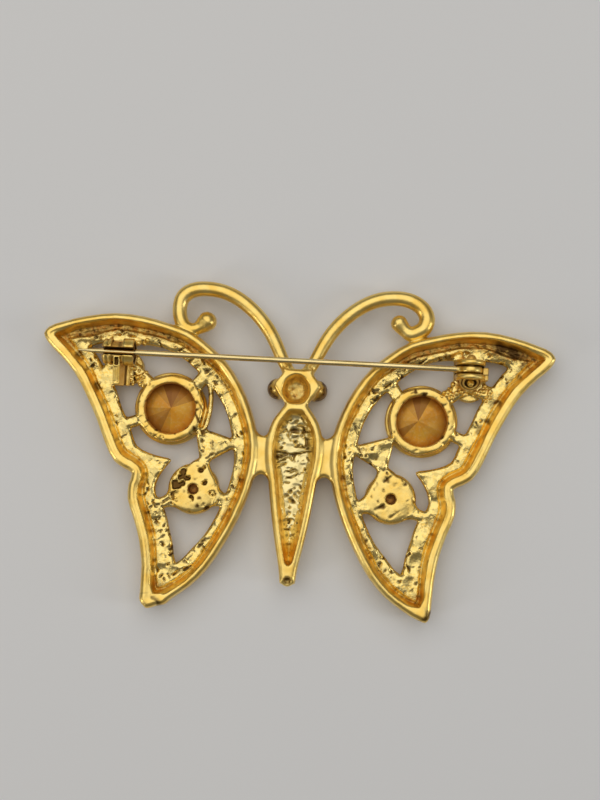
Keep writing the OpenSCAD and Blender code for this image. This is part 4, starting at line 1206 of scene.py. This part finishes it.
# %% Beads on the casting
# Places where the solder ran out. Columns: left, lower, right and upper edge in mm.
RUNS = [(-23.5, 7.9, -21.2, 10.6), (-22.9, 12.6, -21.4, 14.6),
        (20.2, 8.6, 21.8, 11.4), (21.9, 9.2, 25.8, 9.9), (26.0, 8.4, 27.2, 11.0)]
RUN_LOW, RUN_HIGH = 2.6, 3.3   # heights between which the solder lies


def bead_tree():
    tree, given = new_tree("solder_beads", [
        ("Spacing", "Float", 0.0004), ("Smallest", "Float", 0.0002),
        ("Largest", "Float", 0.0004), ("Seed", "Int", 5)])
    ball = chain(tree, ("GeometryNodeMeshIcoSphere", {}, {"Radius": 1.0, "Subdivisions": 3}),
                 ("GeometryNodeSetShadeSmooth", {}, {}))
    size = chain(tree, ("FunctionNodeRandomValue", {"data_type": "FLOAT"},
                        {2: given["Smallest"], 3: given["Largest"], 8: given["Seed"]}))
    return finish_tree(
        tree, FITTING_GOLD,
        ("GeometryNodeDistributePointsOnFaces", {"distribute_method": "POISSON"},
         {"Mesh": given["Geometry"], "Distance Min": given["Spacing"], "Density Max": 9e6,
          "Seed": given["Seed"]}),
        ("GeometryNodeInstanceOnPoints", {}, {"Instance": ball[0], "Scale": size[1]}))


x, y, z = casting_corners[casting_faces].mean(axis=1).T
wet = np.zeros(len(x), bool)
for left, lower, right_edge, upper in RUNS:
    wet |= (x > left) & (x < right_edge) & (y > lower) & (y < upper)
wet &= (z > RUN_LOW) & (z < RUN_HIGH)
used, wet_faces = np.unique(casting_faces[wet], return_inverse=True)
patch = make_mesh("patch", casting_corners[used] - (0, MID_Y, 0), wet_faces.reshape(-1, 4))
beads = baked("solder_beads", add_object("patch", patch), bead_tree(),
              {"Spacing": 0.42 * MM, "Smallest": 0.16 * MM, "Largest": 0.42 * MM, "Seed": 5})
add_piece("solder_beads", beads, None, "brooch", "cast_gold", "casting")
print("solder beads:", len(beads.polygons), "faces")

# %% [markdown]
# ## Floor, light and camera
# The floor is plain and pale. Metal shows what it reflects, so the lights are large and
# soft: one from the upper left, a weaker one from the right, and a strip that draws bright
# lines on the raised edges. The camera looks down as in the photograph.

# %% Stage
def floor_material():
    ink = Ink("pale_floor", Roughness=0.75)
    pale, darker = (0.80, 0.80, 0.80), (0.74, 0.74, 0.75)
    return ink.finish(ink.mix(ink.noise(40.0, 2.0) * 0.25, pale, darker))


bpy.ops.mesh.primitive_plane_add(size=8.0)
floor = bpy.context.object
floor.name = "floor"
floor.data.materials.append(floor_material())

world = bpy.data.worlds.new("studio")
bpy.context.scene.world = world
world.use_nodes = True
background = world.node_tree.nodes["Background"].inputs
background["Color"].default_value, background["Strength"].default_value = (0.56, 0.54, 0.52, 1), 0.3

# Lights. Columns: name, place in mm, width and height in mm, power in watts, colour.
LIGHTS = [("key", (-60, 150, 410), (700, 600), 1.35, (1.0, 0.98, 0.94)),
          ("fill", (300, -40, 150), (60, 200), 0.14, (0.94, 0.97, 1.0)),
          ("strip", (-280, -160, 140), (60, 200), 0.14, (1.0, 0.98, 0.95))]
for name, place, (width, height), power, colour in LIGHTS:
    light = bpy.data.lights.new(name, "AREA")
    light.shape, light.size, light.size_y = "RECTANGLE", width * MM, height * MM
    light.energy, light.color = power, colour
    facing = (-Vector(place)).to_track_quat("-Z", "Y").to_matrix().to_4x4()
    add_object(name, light).matrix_world = Matrix.Translation(Vector(place) * MM) @ facing
print("lights:", len(LIGHTS))

# %% Camera
AIM, AWAY, TURN = Vector((0.45, 7.03, 2.6)) * MM, 188.6 * MM, math.radians(3.0)
LEAN_RIGHT, LEAN_DOWN, VIEW_ANGLE = math.radians(0.5), math.radians(3.0), math.radians(25.2)
eye = AIM + AWAY * Vector((math.sin(LEAN_RIGHT), -math.sin(LEAN_DOWN),
                           math.cos(LEAN_RIGHT) * math.cos(LEAN_DOWN)))
ahead = (AIM - eye).normalized()
across = ahead.cross(Vector((-math.sin(TURN), math.cos(TURN), 0))).normalized()
lens = bpy.data.cameras.new("camera")
lens.sensor_fit, lens.angle, lens.clip_start = "HORIZONTAL", VIEW_ANGLE, 0.01
camera = add_object("camera", lens)
camera.matrix_world = (Matrix.Translation(eye)
                       @ Matrix((across, across.cross(ahead), -ahead)).transposed().to_4x4())
bpy.context.scene.camera = camera
bpy.context.scene.view_settings.view_transform = "Standard"
print("camera at", [round(c / MM, 1) for c in eye], "mm")
